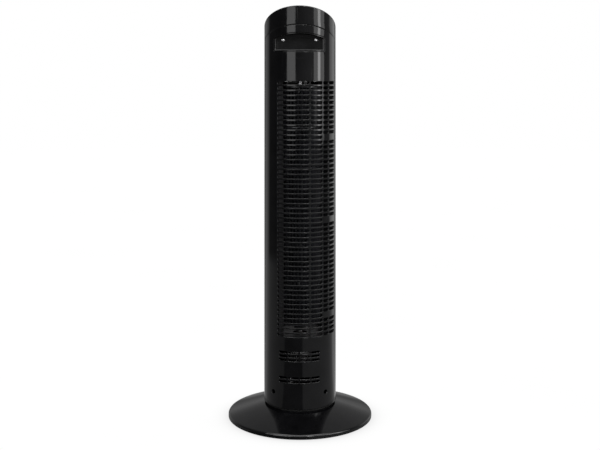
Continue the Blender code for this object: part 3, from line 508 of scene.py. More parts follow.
def makeWellBand(patches):
    # two round openings for the screw wells, with plain skin between them and beside them
    low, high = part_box("shell_screw_left")
    size, band = 2 * rearShell["wellRadius"], rearShell["wellBand"]
    wide = math.degrees(rearShell["wellRadius"] / column["headRadius"])
    bearing, inner = rearShell["wellBearing"], rearShell["wellInner"]
    outer = bearing + rearShell["wellBeside"]
    bays = ((-bearing - wide, -bearing + wide), (-inner, inner), (bearing - wide, bearing + wide))
    foot = (low.z + high.z - band) / 2
    made, middle, heights = perforatedBand(bays, (-outer, -inner, inner, outer), foot, band, 1,
                                           (band - size) / 2, size, rearShell["wellRadius"],
                                           rearShell["facet"], {1: (0,)})
    left, right = besides((-outer, outer))
    patches += [*made, plainPatch(left, heights), plainPatch(right, heights)]
    line = np.concatenate([left[:-1], middle, right[1:]])
    return [lineAt(line, heights[0]), lineAt(line, heights[-1])]


def makeRearShell():
    # bands of openings from the foot up, the pocket's surround, and plain skin zipped in between them
    patches = []
    edges = makeWellBand(patches)
    for foot, rows in ((rearShell["lowerVents"], 2), (rearShell["upperVents"], 3)):
        edges += skinBand(patches, rearShell["ventBays"], rearShell["ventRibs"], foot, rearShell["ventPitch"],
                          rows, rearShell["ventHeight"], rearShell["ventCorner"])
    shut = [rearShell["grilleRows"] - 1 - row for row in rearShell["closedRows"]]
    edges += skinBand(patches, rearShell["bays"], (*rearShell["ribs"], shellEdge), grilleFoot,
                      rearShell["slotPitch"], rearShell["grilleRows"], rearShell["slotHeight"],
                      rearShell["slotCorner"], {2: shut, 3: shut})

    hole, cell, shares, cellFoot, cellHead, cellHalf = pocketOutlines(0.0)
    patches.append(holePatch(hole, cell))
    left, right = besides((-cellHalf, cellHalf))
    for side in (left, right):
        heads = cellHead - slantDrop(side)
        patches.append(plainPatch(side, cellFoot + shares[:, None] * (heads - cellFoot)[None, :]))
    middle = edgeBearings(cell, cellFoot)
    edges.append(lineAt(np.concatenate([left[:-1], middle, right[1:]]), cellFoot))

    shared = steps(-shellEdge, shellEdge, rearShell["plainFacet"])
    patches.append(zipStrip(lineAt(shared, footHeight), edges[0]))
    for lower, upper in zip(edges[1::2], edges[2::2]):
        gap = upper[0, 1] - lower[0, 1]
        count = int(gap / 0.02) + 1
        between = [lineAt(shared, lower[0, 1] + gap * (i + 0.5) / count) for i in range(count)]
        lines = [lower, *between, upper]
        patches += [zipStrip(a, b) for a, b in zip(lines[:-1], lines[1:])]
    shell = makePiece("rear_shell_skin", patches, "column", "gloss_black", ("rear_shell",))
    thicken(shell, column["wall"])
    roundEdges(shell, rearShell["edgeRounding"])
    return shell


def alongBearing(points, bearing, height):
    # (outwards, across, up) points carried to a bearing and a height of the column
    turn = math.radians(bearing)
    out = np.array([-math.sin(turn), math.cos(turn), 0.0])
    side = np.array([-math.cos(turn), -math.sin(turn), 0.0])
    up = np.array([0.0, 0.0, 1.0])
    return points[..., 0:1] * out + points[..., 1:2] * side + (points[..., 2:3] + height) * up


def makeScrewWells():
    # a section of the well's wall, carried round the screw's axis
    low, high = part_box("shell_screw_left")
    height = (low.z + high.z) / 2
    skin = columnRadius(height) - column["wall"]
    patches = []
    boss, well, hole = rearShell["bossRadius"], rearShell["wellRadius"], rearShell["screwHole"]
    far, seat, near = -rearShell["wellDepth"], rearShell["wellFloor"] - rearShell["wellDepth"], 0.0008
    profile = np.array([(boss, near), (boss, far), (hole, far), (hole, seat), (well, seat), (well, near)])
    turn = np.radians(np.linspace(0, 360, 40, endpoint=False))[:, None]
    for side in (-1, 1):
        tube = np.stack([skin + profile[:, 1] + 0 * turn, -profile[:, 0] * np.cos(turn),
                         profile[:, 0] * np.sin(turn)], -1)
        patches.append(sheet(alongBearing(tube, side * rearShell["wellBearing"], height), closeRows=True,
                             closeColumns=True))
    return makePiece("screw_wells", patches, "column", "gloss_black")


makeRearShell()
makeScrewWells()
print("rear shell made")


# the front shell

frontShell = {
    "outletBearing": 38.0,
    "columns": 9,
    "rows": 5,
    "tie": 0.0040,
    "finShare": 0.34,
    "corner": 0.0022,
    "edgeRounding": 0.0006,
    "railDrop": 0.0016,
    "railHeight": 0.0064,
    "railDepth": 0.0018,
}


def makeFrontShell():
    # seen from the front middle, bearing 180: upright slots in rows, plain skin round them
    tie, facet = frontShell["tie"], rearShell["plainFacet"]
    rowHeight = (rearShell["grilleTop"] - grilleFoot + tie) / frontShell["rows"]
    pitch = 2 * frontShell["outletBearing"] / frontShell["columns"]
    ribs = 180.0 - frontShell["outletBearing"] + pitch * np.arange(frontShell["columns"] + 1)
    fin = frontShell["finShare"] / 2 * pitch
    bays = [(rib + fin, rib + pitch - fin) for rib in ribs[:-1]]
    start = column["seamBearing"] + seamTurn
    end = 360.0 - start
    patches, middle, heights = perforatedBand(bays, list(ribs), grilleFoot - tie / 2, rowHeight,
                                              frontShell["rows"], tie / 2, rowHeight - tie,
                                              frontShell["corner"], rearShell["facet"])
    left, right = steps(start, ribs[0], facet), steps(ribs[-1], end, facet)
    patches += [plainPatch(left, heights), plainPatch(right, heights)]
    line = np.concatenate([left[:-1], middle, right[1:]])
    even = steps(start, end, facet)
    lines = [lineAt(even, z) for z in steps(footHeight, heights[0] - 0.01, 0.03)] + [lineAt(line, heights[0])]
    patches += [zipStrip(a, b) for a, b in zip(lines[:-1], lines[1:])]
    top = seamLine(even) - column["seamGap"]
    low = heights[-1] + 0.008
    patches.append(zipStrip(lineAt(line, heights[-1]), lineAt(even, low)))
    share = np.linspace(0.0, 1.0, 5)[:, None]
    patches.append(plainPatch(even, low + share * (top - low)[None, :]))
    shell = makePiece("front_shell_skin", patches, "column", "gloss_black", ("front_shell",))
    thicken(shell, column["wall"])
    roundEdges(shell, frontShell["edgeRounding"])
    return shell


def makeOutletRail():
    # a flat bar that joins the tops of the upright fins behind them: a section carried round part of a ring
    height = rearShell["grilleTop"] - frontShell["railDrop"]
    outer = columnRadius(height) - column["wall"] - column["seamGap"]
    inner, foot = outer - frontShell["railDepth"], height - frontShell["railHeight"]
    section = ((outer, height), (outer, foot), (inner, foot), (inner, height))
    side = frontShell["outletBearing"] + 2.0
    points, faces = turned(section, 40, closed=True, start=270.0 - side, end=270.0 + side)
    ends = points.reshape(40, 4, 3)
    makePiece("outlet_rail", [(points, faces), cap(ends[0], flip=True), cap(ends[-1])], "column",
              "gloss_black")


makeFrontShell()
makeOutletRail()
print("front shell made")


# the handle pocket

def makePocket():
    # rings of one outline: behind, outer side, lip, inner side, floor; the side runs straight to the floor
    def ring(inset, depth):
        # a ring just under the skin
        line = pocketOutlines(inset)[0]
        return wrap(line[:, 0], line[:, 1], depth)

    def onPlane(inset, y):
        # the same ring carried to a plane across the column
        flat = ring(inset, 0.0004)
        return np.stack([flat[:, 0], np.full(len(flat), y), flat[:, 2]], -1)

    gap, wall, floor = column["seamGap"], pocket["wall"], pocket["floor"]
    back = floor - wall
    middle = np.array([0.0, 0.0, (pocket["foot"] + pocket["crown"]) / 2 - 0.002])

    def shrink(rings, share, y):
        centre = middle + np.array([0.0, y, 0.0])
        return centre + (rings - centre) * np.array([share, 1.0, share])

    outerBack = onPlane(gap, back)
    innerBack = onPlane(wall + 0.0012, floor)
    rows = [shrink(outerBack, 0.0, back), shrink(outerBack, 0.5, back), outerBack,
            onPlane(gap, back + 0.004), ring(gap, 0.0012), ring(gap + 0.0001, 0.0008),
            ring(gap + 0.0004, 0.0004), ring(wall - 0.0004, 0.0004), ring(wall - 0.0001, 0.0008),
            ring(wall, 0.0012)]
    mouth, deep = rows[-1], onPlane(wall, floor + 0.0012)
    rows += [mouth + share * (deep - mouth) for share in (0.25, 0.5, 0.75, 1.0)]
    rows += [onPlane(wall + 0.00035, floor + 0.00035), innerBack, shrink(innerBack, 0.97, floor)]
    rows += [shrink(innerBack, share, floor) for share in (0.75, 0.5, 0.25, 0.0)]
    # the pocket takes pocket_black, whose extra darkness is painted shade inside the recess
    return makePiece("handle_pocket_shell", [sheet(np.stack(rows), closeColumns=True)], "column",
                     "matt_black", ("handle_pocket",), materials["pocket_black"])


makePocket()
print("pocket made")


# screws

screwHead = {
    "panRadius": 0.0030,
    "panHeight": 0.0015,
    "panLength": 0.0080,
    "shellRadius": 0.0026,
    "shellHeight": 0.0013,
    "shellLength": 0.0110,
    "shank": 0.0016,
    "crossHalf": 0.00034,
    "crossReach": 0.62,      # of the head's radius
    "crossDepth": 0.0011,
    "crossTurn": 21.0,
}


def makeScrew(name, radius, height, length, spot, outward, replaced):
    # a domed head turned round its axis, sunk where a cross of two bars passes, on a plain shank
    rings, sides = 26, 72
    share = np.concatenate([np.linspace(0.0, 0.9, rings - 6), np.linspace(0.92, 1.0, 6)])[None, :]
    turn = np.radians(np.linspace(0, 360, sides, endpoint=False))[:, None]
    r = radius * share + 0 * turn
    dome = height * (1.0 - 0.30 * share ** 2 - 0.70 * share ** 9) + 0 * turn
    x, y = r * np.cos(turn), r * np.sin(turn)
    reach = np.clip((screwHead["crossReach"] * radius - r) / 0.0003, 0.0, 1.0)
    bar = np.maximum(np.clip((screwHead["crossHalf"] - np.abs(x)) / 0.00012 + 0.5, 0.0, 1.0),
                     np.clip((screwHead["crossHalf"] - np.abs(y)) / 0.00012 + 0.5, 0.0, 1.0))
    dome = dome - screwHead["crossDepth"] * reach * bar * (1.0 - 0.5 * share)
    head = np.stack([x, y, dome], -1)
    shank = screwHead["shank"]
    lower = np.array([(radius, 0.0), (shank, 0.0), (shank, -length), (0.0, -length)])
    rest = np.stack([lower[:, 0] * np.cos(turn), lower[:, 0] * np.sin(turn), lower[:, 1] + 0 * turn], -1)
    points = np.concatenate([head, rest], axis=1)
    outward = np.asarray(outward, float)
    side = np.cross((0.0, 0.0, 1.0), outward)
    side /= np.linalg.norm(side)
    up = np.cross(outward, side)
    twist = math.radians(screwHead["crossTurn"])
    first = side * math.cos(twist) + up * math.sin(twist)
    second = up * math.cos(twist) - side * math.sin(twist)
    points = points[..., 0:1] * first + points[..., 1:2] * second + points[..., 2:3] * outward
    finish = "screw_steel" if "pocket" in name else "steel"
    return makePiece(name, [sheet(points + np.asarray(spot), closeRows=True)], "column", finish, (replaced,),
                     smoothAngle=50.0)


def makeScrews():
    for label in ("left", "right"):
        low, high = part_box("pocket_screw_" + label)
        spot = ((low.x + high.x) / 2, pocket["floor"] + column["seamGap"], (low.z + high.z) / 2)
        makeScrew(f"pocket_screw_head_{label}", screwHead["panRadius"], screwHead["panHeight"],
                  screwHead["panLength"], spot, (0.0, 1.0, 0.0), "pocket_screw_" + label)
        low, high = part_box("shell_screw_" + label)
        turn = math.radians(rearShell["wellBearing"]) * (1 if label == "right" else -1)
        out = np.array([-math.sin(turn), math.cos(turn), 0.0])
        height = (low.z + high.z) / 2
        seat = (columnRadius(height) - column["wall"] - rearShell["wellDepth"] + rearShell["wellFloor"]
                + column["seamGap"])
        makeScrew(f"shell_screw_head_{label}", screwHead["shellRadius"], screwHead["shellHeight"],
                  screwHead["shellLength"], out * seat + np.array([0.0, 0.0, height]), out,
                  "shell_screw_" + label)


makeScrews()
print("screws made")


# the cap and the controls

capShape = {
    "edgeRadius": 0.0016,
    "recessRadius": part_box("control_panel")[1].x + column["seamGap"],    # the panel is round from above
    "recessDepth": 0.0023,
    "ledge": 0.0040,
    "ledgeThickness": 0.0027,
}
panelShape = {"thickness": 0.0020, "keyRow": -0.0210, "knobRow": 0.0200, "knobHole": 0.0036}
keyShape = {"width": 0.0102, "length": 0.0140, "proud": 0.0035, "deep": 0.0090, "pitch": 0.0125,
            "corner": 0.0016, "edge": 0.0009, "dish": 0.0005}
knobShape = {"radius": 0.0150, "height": 0.0120, "ribs": 30, "ribDepth": 0.0004, "barHeight": 0.0004}
topTilt = math.atan(column["topSlope"])
keyNames = ("off", "low", "medium", "high", "swing")


def onTop(across, along, up):
    # a point given from the cap's slanting top: across it, up the slope, off it
    across, along, up = np.broadcast_arrays(across, along, up)
    return np.stack([across, along * math.cos(topTilt) - up * math.sin(topTilt),
                     topHeight + along * math.sin(topTilt) + up * math.cos(topTilt)], -1)


def makeCap():
    # a profile carried right round; its lower points follow the joint's slant, its upper ones the top's slant
    bearing = np.linspace(0.0, 360.0, 160, endpoint=False)[:, None]
    cosine = np.cos(np.radians(bearing))
    joint = seamLine(bearing)
    outer = columnRadius(topHeight + column["topSlope"] * column["headRadius"] * cosine)
    wall, edge = column["wall"], capShape["edgeRadius"]

    def fromJoint(inset, up):
        height = joint + up
        return columnRadius(height) - inset, height

    def fromTop(radius, up):
        return radius + 0 * outer, topHeight + column["topSlope"] * radius * cosine + up

    recess, ledge = capShape["recessRadius"], capShape["recessRadius"] - capShape["ledge"]
    deep = capShape["recessDepth"]
    under = deep + capShape["ledgeThickness"]
    rows = [fromTop(recess + 0.0003, 0.0), fromTop(outer - edge - 0.0006, 0.0), fromTop(outer - edge, 0.0)]
    for turn in np.radians((18.0, 36.0, 54.0, 72.0, 90.0)):
        rows.append(fromTop(outer - edge * (1 - math.sin(turn)), -edge * (1 - math.cos(turn))))
    rows += [fromTop(outer, -edge - 0.0006)]
    upper, lower = rows[-1], fromJoint(0.0, 0.0014)
    rows += [tuple(upper[k] + share * (lower[k] - upper[k]) for k in (0, 1)) for share in (0.33, 0.66)]
    rows += [lower, fromJoint(0.00007, 0.0008), fromJoint(0.0003, 0.0003), fromJoint(0.0008, 0.00007),
             fromJoint(0.0012, 0.0), fromJoint(wall, 0.0), fromTop(outer - wall, -under),
             fromTop(ledge, -under), fromTop(ledge, -deep), fromTop(recess, -deep), fromTop(recess, -0.0003)]
    turn = np.radians(bearing)
    points = np.stack([np.concatenate([-r * np.sin(turn), r * np.cos(turn), z], -1) for r, z in rows], 1)
    return makePiece("top_cap_shell", [sheet(points, closeRows=True, closeColumns=True)], "column",
                     "gloss_black", ("top_cap",), smoothAngle=50.0)


def roundedBox(halfWidth, halfLength, corner, count=7):
    # a rounded oblong's outline, anticlockwise
    arc = np.radians(np.linspace(0, 90, count))
    quarter = np.stack([np.cos(arc), np.sin(arc)], -1) * corner
    corners = []
    for x, y, spin in ((1, 1, 0), (-1, 1, 90), (-1, -1, 180), (1, -1, 270)):
        c, s = math.cos(math.radians(spin)), math.sin(math.radians(spin))
        turnedArc = quarter @ np.array([[c, s], [-s, c]])
        corners.append(turnedArc + np.array([x * (halfWidth - corner), y * (halfLength - corner)]))
    return np.concatenate(corners)


def keySpot(number):
    # a key's middle on the panel
    return (number - (len(keyNames) - 1) / 2) * keyShape["pitch"], panelShape["keyRow"]


def makePanel():
    # a flat outline with its openings, filled with triangles
    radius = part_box("control_panel")[1].x
    turn = np.radians(np.linspace(0, 360, 144, endpoint=False))
    stretch = math.sqrt(1 + column["topSlope"] ** 2)
    outlines = [np.stack([radius * np.cos(turn), radius * stretch * np.sin(turn)], -1)]
    gap = column["seamGap"]
    for number in range(len(keyNames)):
        hole = roundedBox(keyShape["width"] / 2 + gap, keyShape["length"] / 2 + gap, keyShape["corner"] + gap)
        outlines.append(hole + np.array(keySpot(number)))
    small = np.radians(np.linspace(0, 360, 32, endpoint=False))
    outlines.append(np.stack([panelShape["knobHole"] * np.cos(small),
                              panelShape["knobHole"] * np.sin(small) + panelShape["knobRow"]], -1))
    starts = np.cumsum([0] + [len(line) for line in outlines])
    edges = [(int(start + i), int(start + (i + 1) % len(line)))
             for start, line in zip(starts, outlines) for i in range(len(line))]
    spots = [Vector(p) for line in outlines for p in line]
    points, _, faces, _, _, _ = delaunay_2d_cdt(spots, edges, [], 0, 1e-7)
    flat = np.array([tuple(p) for p in points])
    faces = np.array([tuple(f) for f in faces])
    middles = flat[faces].mean(1)
    keep = (middles[:, 0] / radius) ** 2 + (middles[:, 1] / radius / stretch) ** 2 < 0.9999
    for number in range(len(keyNames)):
        across, along = keySpot(number)
        keep &= ~((np.abs(middles[:, 0] - across) < keyShape["width"] / 2 - 0.0005)
                  & (np.abs(middles[:, 1] - along) < keyShape["length"] / 2 - 0.0005))
    keep &= np.hypot(middles[:, 0], middles[:, 1] - panelShape["knobRow"]) > panelShape["knobHole"] * 0.8
    panel = makePiece("control_plate", [(onTop(flat[:, 0], flat[:, 1], 0.0), faces[keep])], "column",
                      "matt_black", ("control_panel",))
    thicken(panel, panelShape["thickness"])
    roundEdges(panel, 0.00025)
    return panel


def makeKeys():
    # rings of a rounded oblong, from the foot of the key up its side, over the edge and in to a dished top
    for number, name in enumerate(keyNames):
        across, along = keySpot(number)
        rows = [(0.0012, -keyShape["deep"]), (0.0, -keyShape["deep"]), (0.0, -0.001),
                (0.0, keyShape["proud"] - keyShape["edge"])]
        for turn in np.radians((22.5, 45.0, 67.5, 90.0)):
            rows.append((keyShape["edge"] * (1 - math.cos(turn)),
                         keyShape["proud"] - keyShape["edge"] * (1 - math.sin(turn))))
        points = []
        for inset, up in rows:
            line = roundedBox(keyShape["width"] / 2 - inset, keyShape["length"] / 2 - inset,
                              max(keyShape["corner"] - inset, 0.0002))
            points.append(onTop(line[:, 0] + across, line[:, 1] + along, up))
        line = roundedBox(keyShape["width"] / 2 - keyShape["edge"], keyShape["length"] / 2 - keyShape["edge"],
                          keyShape["corner"] - keyShape["edge"])
        for share in (0.92, 0.8, 0.6, 0.4, 0.2, 0.0):
            sunk = keyShape["proud"] - keyShape["dish"] * (1 - share ** 2)
            points.append(onTop(line[:, 0] * share + across, line[:, 1] * share + along, sunk))
        floor = onTop(line[:, 0] * 0.0 + across, line[:, 1] * 0.0 + along, -keyShape["deep"])
        makePiece(f"key_cap_{name}", [sheet(np.stack([floor] + points), closeColumns=True)], name + "_key",
                  "key_grey", (f"key_{name}",), smoothAngle=50.0)


def makeKnob():
    # a turned profile whose side is drawn in at each of the grip's grooves, with a raised bar across its face
    r, h = knobShape["radius"], knobShape["height"]
    profile = np.array([(0.0, h - 0.0006), (r - 0.0052, h - 0.0006), (r - 0.0042, h - 0.0003),
                        (r - 0.0034, h), (r - 0.0022, h), (r - 0.0014, h - 0.0004), (r - 0.0010, h - 0.0012),
                        (r - 0.0007, h - 0.0035), (r - 0.0003, 0.0035), (r - 0.0001, 0.0016), (r, 0.0010),
                        (r - 0.0003, 0.0006), (0.0030, 0.0006), (0.0030, -0.0045), (0.0, -0.0045)])
    ribbed = np.array([0, 0, 0, 0, 0, 0.3, 0.8, 1, 1, 0.5, 0, 0, 0, 0, 0])
    turn = np.radians(np.linspace(0, 360, knobShape["ribs"] * 8, endpoint=False))[:, None]
    groove = knobShape["ribDepth"] * (1 - np.abs(np.cos(turn * knobShape["ribs"] / 2)) ** 0.8)
    radius = profile[:, 0] - ribbed * groove
    body = onTop(radius * np.cos(turn), radius * np.sin(turn) + panelShape["knobRow"],
                 profile[:, 1] + 0 * turn)
    bar = roundedBox(0.0012, r - 0.0030, 0.0011)
    rows = [onTop(bar[:, 0] * s, bar[:, 1] * t + panelShape["knobRow"], up) for s, t, up in
            ((1.0, 1.0, h - 0.0008), (1.0, 1.0, h), (0.85, 0.985, h + knobShape["barHeight"]),
             (0.0, 0.9, h + knobShape["barHeight"]))]
    makePiece("timer_knob_grip", [sheet(body, closeRows=True), sheet(np.stack(rows), closeColumns=True)],
              "knob", "key_grey", ("timer_knob",), smoothAngle=40.0)


# printed marks: round the timer knob a stroke for every ten minutes and a number for every thirty, on the
# knob a pointer, and on the keys a ring, one to three bars and a double arrow
markShape = {
    "lift": 0.00002,         # over the surface, so that the two don't flicker
    "ink": 0.00004,
    "stroke": 0.00045,
    "tickStart": 0.0166,
    "tickEnd": 0.0184,
    "longTick": 0.0192,
    "numberRadius": 0.0216,
    "numberSize": 0.0030,
    "symbol": 0.0019,        # half the width of a key's symbol
}


def stroke(path, place, closed=False):
    # a path with a flat strip of ink along it: its corners lie half a stroke to each side, square to the path
    path = np.asarray(path, float)
    ahead = np.roll(path, -1, 0) - np.roll(path, 1, 0)
    if not closed:
        ahead[0], ahead[-1] = path[1] - path[0], path[-1] - path[-2]
    ahead /= np.linalg.norm(ahead, axis=1, keepdims=True)
    side = np.stack([-ahead[:, 1], ahead[:, 0]], -1) * markShape["stroke"] / 2
    low, high = markShape["lift"], markShape["lift"] + markShape["ink"]
    corners = [place(path + sign * side, up) for sign, up in ((1, low), (1, high), (-1, high), (-1, low))]
    grid = np.stack(corners, 1)
    patches = [sheet(grid, closeRows=closed, closeColumns=True)]
    if not closed:
        patches += [cap(grid[0]), cap(grid[-1], flip=True)]
    return patches


def digits(words, place):
    # the built-in letters, given a thickness and laid on the panel
    curve = bpy.data.curves.new("digits", "FONT")
    curve.body, curve.size = words, markShape["numberSize"]
    curve.align_x, curve.align_y = "CENTER", "CENTER"
    curve.extrude = markShape["ink"] / 2
    curve.resolution_u = 3
    holder = bpy.data.objects.new("digits", curve)
    bpy.context.scene.collection.objects.link(holder)
    mesh = bpy.data.meshes.new_from_object(holder.evaluated_get(bpy.context.evaluated_depsgraph_get()))
    points = np.array([tuple(v.co) for v in mesh.vertices])
    faces = [np.array(tuple(face.vertices)) for face in mesh.polygons]
    bpy.data.objects.remove(holder)
    bpy.data.curves.remove(curve)
    bpy.data.meshes.remove(mesh)
    return place(points[:, :2], points[:, 2] + markShape["ink"] / 2 + markShape["lift"]), faces


def printPiece(name, patches, body):
    # a mark is closed all round, so its normals can be turned outwards
    piece = makePiece(name, patches, body, "white_plastic", merge=1e-7)
    bm = bmesh.new()
    bm.from_mesh(piece.data)
    bmesh.ops.recalc_face_normals(bm, faces=bm.faces)
    bm.to_mesh(piece.data)
    bm.free()
    return piece


def makeDialMarks():
    # the knob turns clockwise from the stroke at the top, 30 degrees for ten minutes
    def around(angle, radius):
        return np.array([radius * math.sin(math.radians(angle)),
                         radius * math.cos(math.radians(angle)) + panelShape["knobRow"]])

    def onPanel(flat, up):
        return onTop(flat[:, 0], flat[:, 1], up)

    patches = []
    for number in range(10):
        outer = markShape["longTick"] if number % 3 == 0 else markShape["tickEnd"]
        patches += stroke([around(30 * number, markShape["tickStart"]), around(30 * number, outer)], onPanel)
        if number % 3 == 0:
            middle = around(30 * number, markShape["numberRadius"])
            patches.append(digits(str(10 * number), lambda flat, up: onPanel(flat + middle, up)))
    printPiece("dial_marks", patches, "column")

    def onKnob(flat, up):
        return onTop(flat[:, 0], flat[:, 1] + panelShape["knobRow"],
                     up + knobShape["height"] + knobShape["barHeight"])

    printPiece("knob_pointer", stroke([(0.0, 0.0030), (0.0, knobShape["radius"] - 0.0040)], onKnob), "knob")


def makeKeyMarks():
    # each symbol lies just over its key's top, whose dish is deepest in the middle and rises with the square
    # of the way to its edge
    half = (keyShape["width"] / 2 - keyShape["edge"], keyShape["length"] / 2 - keyShape["edge"])
    m = markShape["symbol"]
    turn = np.radians(np.linspace(0, 360, 28, endpoint=False))
    ring = [(np.stack([m * np.cos(turn), m * np.sin(turn)], -1), True)]
    bars = {"low": (0.0,), "medium": (-0.5, 0.5), "high": (-1.0, 0.0, 1.0)}
    arrow = [([(-m, 0.0), (m, 0.0)], False)]
    for side in (-1, 1):
        arrow.append(([(side * 0.45 * m, 0.55 * m), (side * m, 0.0), (side * 0.45 * m, -0.55 * m)], False))
    for number, name in enumerate(keyNames):
        across, along = keySpot(number)
        symbol = {"off": ring, "swing": arrow}.get(name)
        if symbol is None:
            symbol = [([(m * spot * 0.8, -m), (m * spot * 0.8, m)], False) for spot in bars[name]]

        def onKey(flat, up):
            share = np.maximum(np.abs(flat[:, 0]) / half[0], np.abs(flat[:, 1]) / half[1])
            top = keyShape["proud"] - keyShape["dish"] * (1 - share ** 2)
            return onTop(flat[:, 0] + across, flat[:, 1] + along, top + up + 0.00003)

        patches = [patch for path, closed in symbol for patch in stroke(path, onKey, closed)]
        printPiece(f"key_mark_{name}", patches, name + "_key")


makeCap()
makePanel()
makeKeys()
makeKnob()
makeDialMarks()
makeKeyMarks()
print("cap and controls made")


# the base

baseShape = {
    "bore": 0.0063,
    "flatRadius": footRadius - 0.0018,
    "rimInset": 0.0027,
    "rimHeight": 0.0092,
    "curve": 1.2,            # how much faster the dome falls near the rim
    "wall": 0.0025,
    "sides": 200,
}


def makeBase():
    # half of a section, turned: flat middle, dome, a crease at the rim, a rounded edge, then back underneath
    low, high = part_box("base_top")
    outer, rim = high.x, high.x - baseShape["rimInset"]
    top, foot = high.z, low.z

    def dome(radius):
        share = np.clip((radius - baseShape["flatRadius"]) / (rim - baseShape["flatRadius"]), 0.0, 1.0)
        return top - (top - baseShape["rimHeight"]) * share ** baseShape["curve"]

    radii = np.concatenate([steps(baseShape["bore"] + 0.0003, baseShape["flatRadius"] - 0.001, 0.006),
                            steps(baseShape["flatRadius"], rim - 0.0008, 0.0025), [rim - 0.0004, rim]])
    skin = np.stack([radii, dome(radii)], -1)
    turn = np.radians(np.linspace(0, 90, 7))[1:]
    crease = baseShape["rimHeight"]
    side = np.stack([rim + (outer - rim) * np.sin(turn), crease - 0.0002 - 0.0035 * (1 - np.cos(turn))], -1)
    within = outer - baseShape["wall"]
    side = np.concatenate([side, [(outer, foot + 0.0008), (outer, foot + 0.0003), (outer - 0.0003, foot),
                                  (within, foot), (within, foot + 0.003)]])
    inner = np.stack([radii[::-1], dome(radii[::-1]) - baseShape["wall"]], -1)
    inner = inner[inner[:, 0] < rim - 0.003]
    profile = np.concatenate([skin, side, inner])
    profile[0, 0] = inner[-1, 0] = baseShape["bore"]
    makePiece("base_dome", [turned(profile, baseShape["sides"], closed=True)], "base", "gloss_black",
              ("base_top",), smoothAngle=40.0)


def makeBasePlate():
    # a flat disc with a shallow groove pressed into its underside
    plate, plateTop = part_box("base_bottom")
    r, z = plateTop.x, plate.z
    flat = np.array([(0.0, plateTop.z), (r, plateTop.z), (r, z + 0.0005), (r - 0.0005, z), (0.090, z),
                     (0.0885, z + 0.0006), (0.0865, z + 0.0006), (0.085, z), (0.0, z)])
    makePiece("base_plate", [turned(flat, 120)], "base", "matt_black", ("base_bottom",))


def makeFeet():
    # round pads with a soft edge and a slightly hollow sole
    for number in range(1, 6):
        low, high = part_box(f"foot_{number}")
        r, h = (high.x - low.x) / 2, high.z
        pad = np.array([(0.0, h), (r, h), (r, 0.0006), (r - 0.0002, 0.0002), (r - 0.0006, 0.0), (0.0045, 0.0),
                        (0.0042, 0.0003), (0.0, 0.0003)])
        makePiece(f"foot_pad_{number}", [turned(pad, 48, ((low.x + high.x) / 2, (low.y + high.y) / 2, 0.0))],
                  "base", "rubber", (f"foot_{number}",))


makeBase()
makeBasePlate()
makeFeet()
print("base made")


# the impeller

impellerShape = {
    "blades": 34,
    "sections": 6,
    "bladeInner": 0.0288,
    "bladeThickness": 0.0007,
    "lean": 9.0,             # degrees that a blade's outer edge leads its inner edge
    "bow": 0.0011,
    "disc": 0.0020,
    "ringInner": 0.0250,
}


def makeImpeller():
    # thin bowed blades between discs, each section turned half a blade against the one below
    low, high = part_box("impeller")
    radius = high.x
    count, sections = impellerShape["blades"], impellerShape["sections"]
    pitch = (high.z - low.z - impellerShape["disc"]) / sections
    share = np.linspace(0.0, 1.0, 6)
    line = impellerShape["bladeInner"] + (radius - 0.0003 - impellerShape["bladeInner"]) * share
    bowed = impellerShape["bow"] * 4 * share * (1 - share) + np.radians(impellerShape["lean"]) * share * line
    half = impellerShape["bladeThickness"] / 2 * np.sqrt(np.clip(1.0 - (2 * share - 1) ** 4, 0.05, 1.0))
    loop = np.concatenate([np.stack([line, bowed + half], -1),
                           np.stack([line[::-1], (bowed - half)[::-1]], -1)])
    radial, turn = loop[:, 0], loop[:, 1] / loop[:, 0]
    patches = []
    for section in range(sections):
        foot = low.z + section * pitch + impellerShape["disc"] - 0.0002
        head = low.z + (section + 1) * pitch + 0.0002
        for blade in range(count):
            angle = turn + 2 * math.pi * (blade + 0.5 * (section % 2)) / count
            ring = np.stack([radial * np.cos(angle), radial * np.sin(angle)], -1)
            ends = [np.concatenate([ring, np.full((len(ring), 1), z)], -1) for z in (foot, head)]
            patches.append(sheet(np.stack(ends), closeColumns=True))
            patches.append(cap(ends[0], flip=True))
            patches.append(cap(ends[1]))
    inners = [impellerShape["ringInner"]] * (sections + 1)
    inners[0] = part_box("impeller_coupling")[1].x + column["seamGap"]
    inners[-1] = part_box("upper_shaft")[1].x + column["seamGap"]
    for number, inner in enumerate(inners):
        z = low.z + number * pitch
        disc = np.array([(inner, z + impellerShape["disc"]), (radius, z + impellerShape["disc"]), (radius, z),
                         (inner, z)])
        patches.append(turned(disc, 96, closed=True))
    # the wheel's darkened black is partly painted shade for the inside of the column
    return makePiece("impeller_wheel", patches, "wheel", "wheel_black", ("impeller",), merge=1e-7)


makeImpeller()
print("impeller made")


# floor, light and camera

studio = {
    "cameraAzimuth": 181.2,          # degrees; 180 looks at the back
    "cameraDistance": 1.727,
    "cameraHeight": 0.608,
    "cameraTilt": 7.2855,            # degrees below level
    "lens": 60.93,
    "shift": -0.0467,
    "floorRadius": 6.0,
    "paperRadius": 1.6,              # the floor's light part, as the fan mirrors it
    "paperFade": 0.12,
    "shadowDepth": 0.16,             # under the rim
    "shadowWidth": 0.011,
    "aimHeight": 0.35,               # where the high boxes point
}

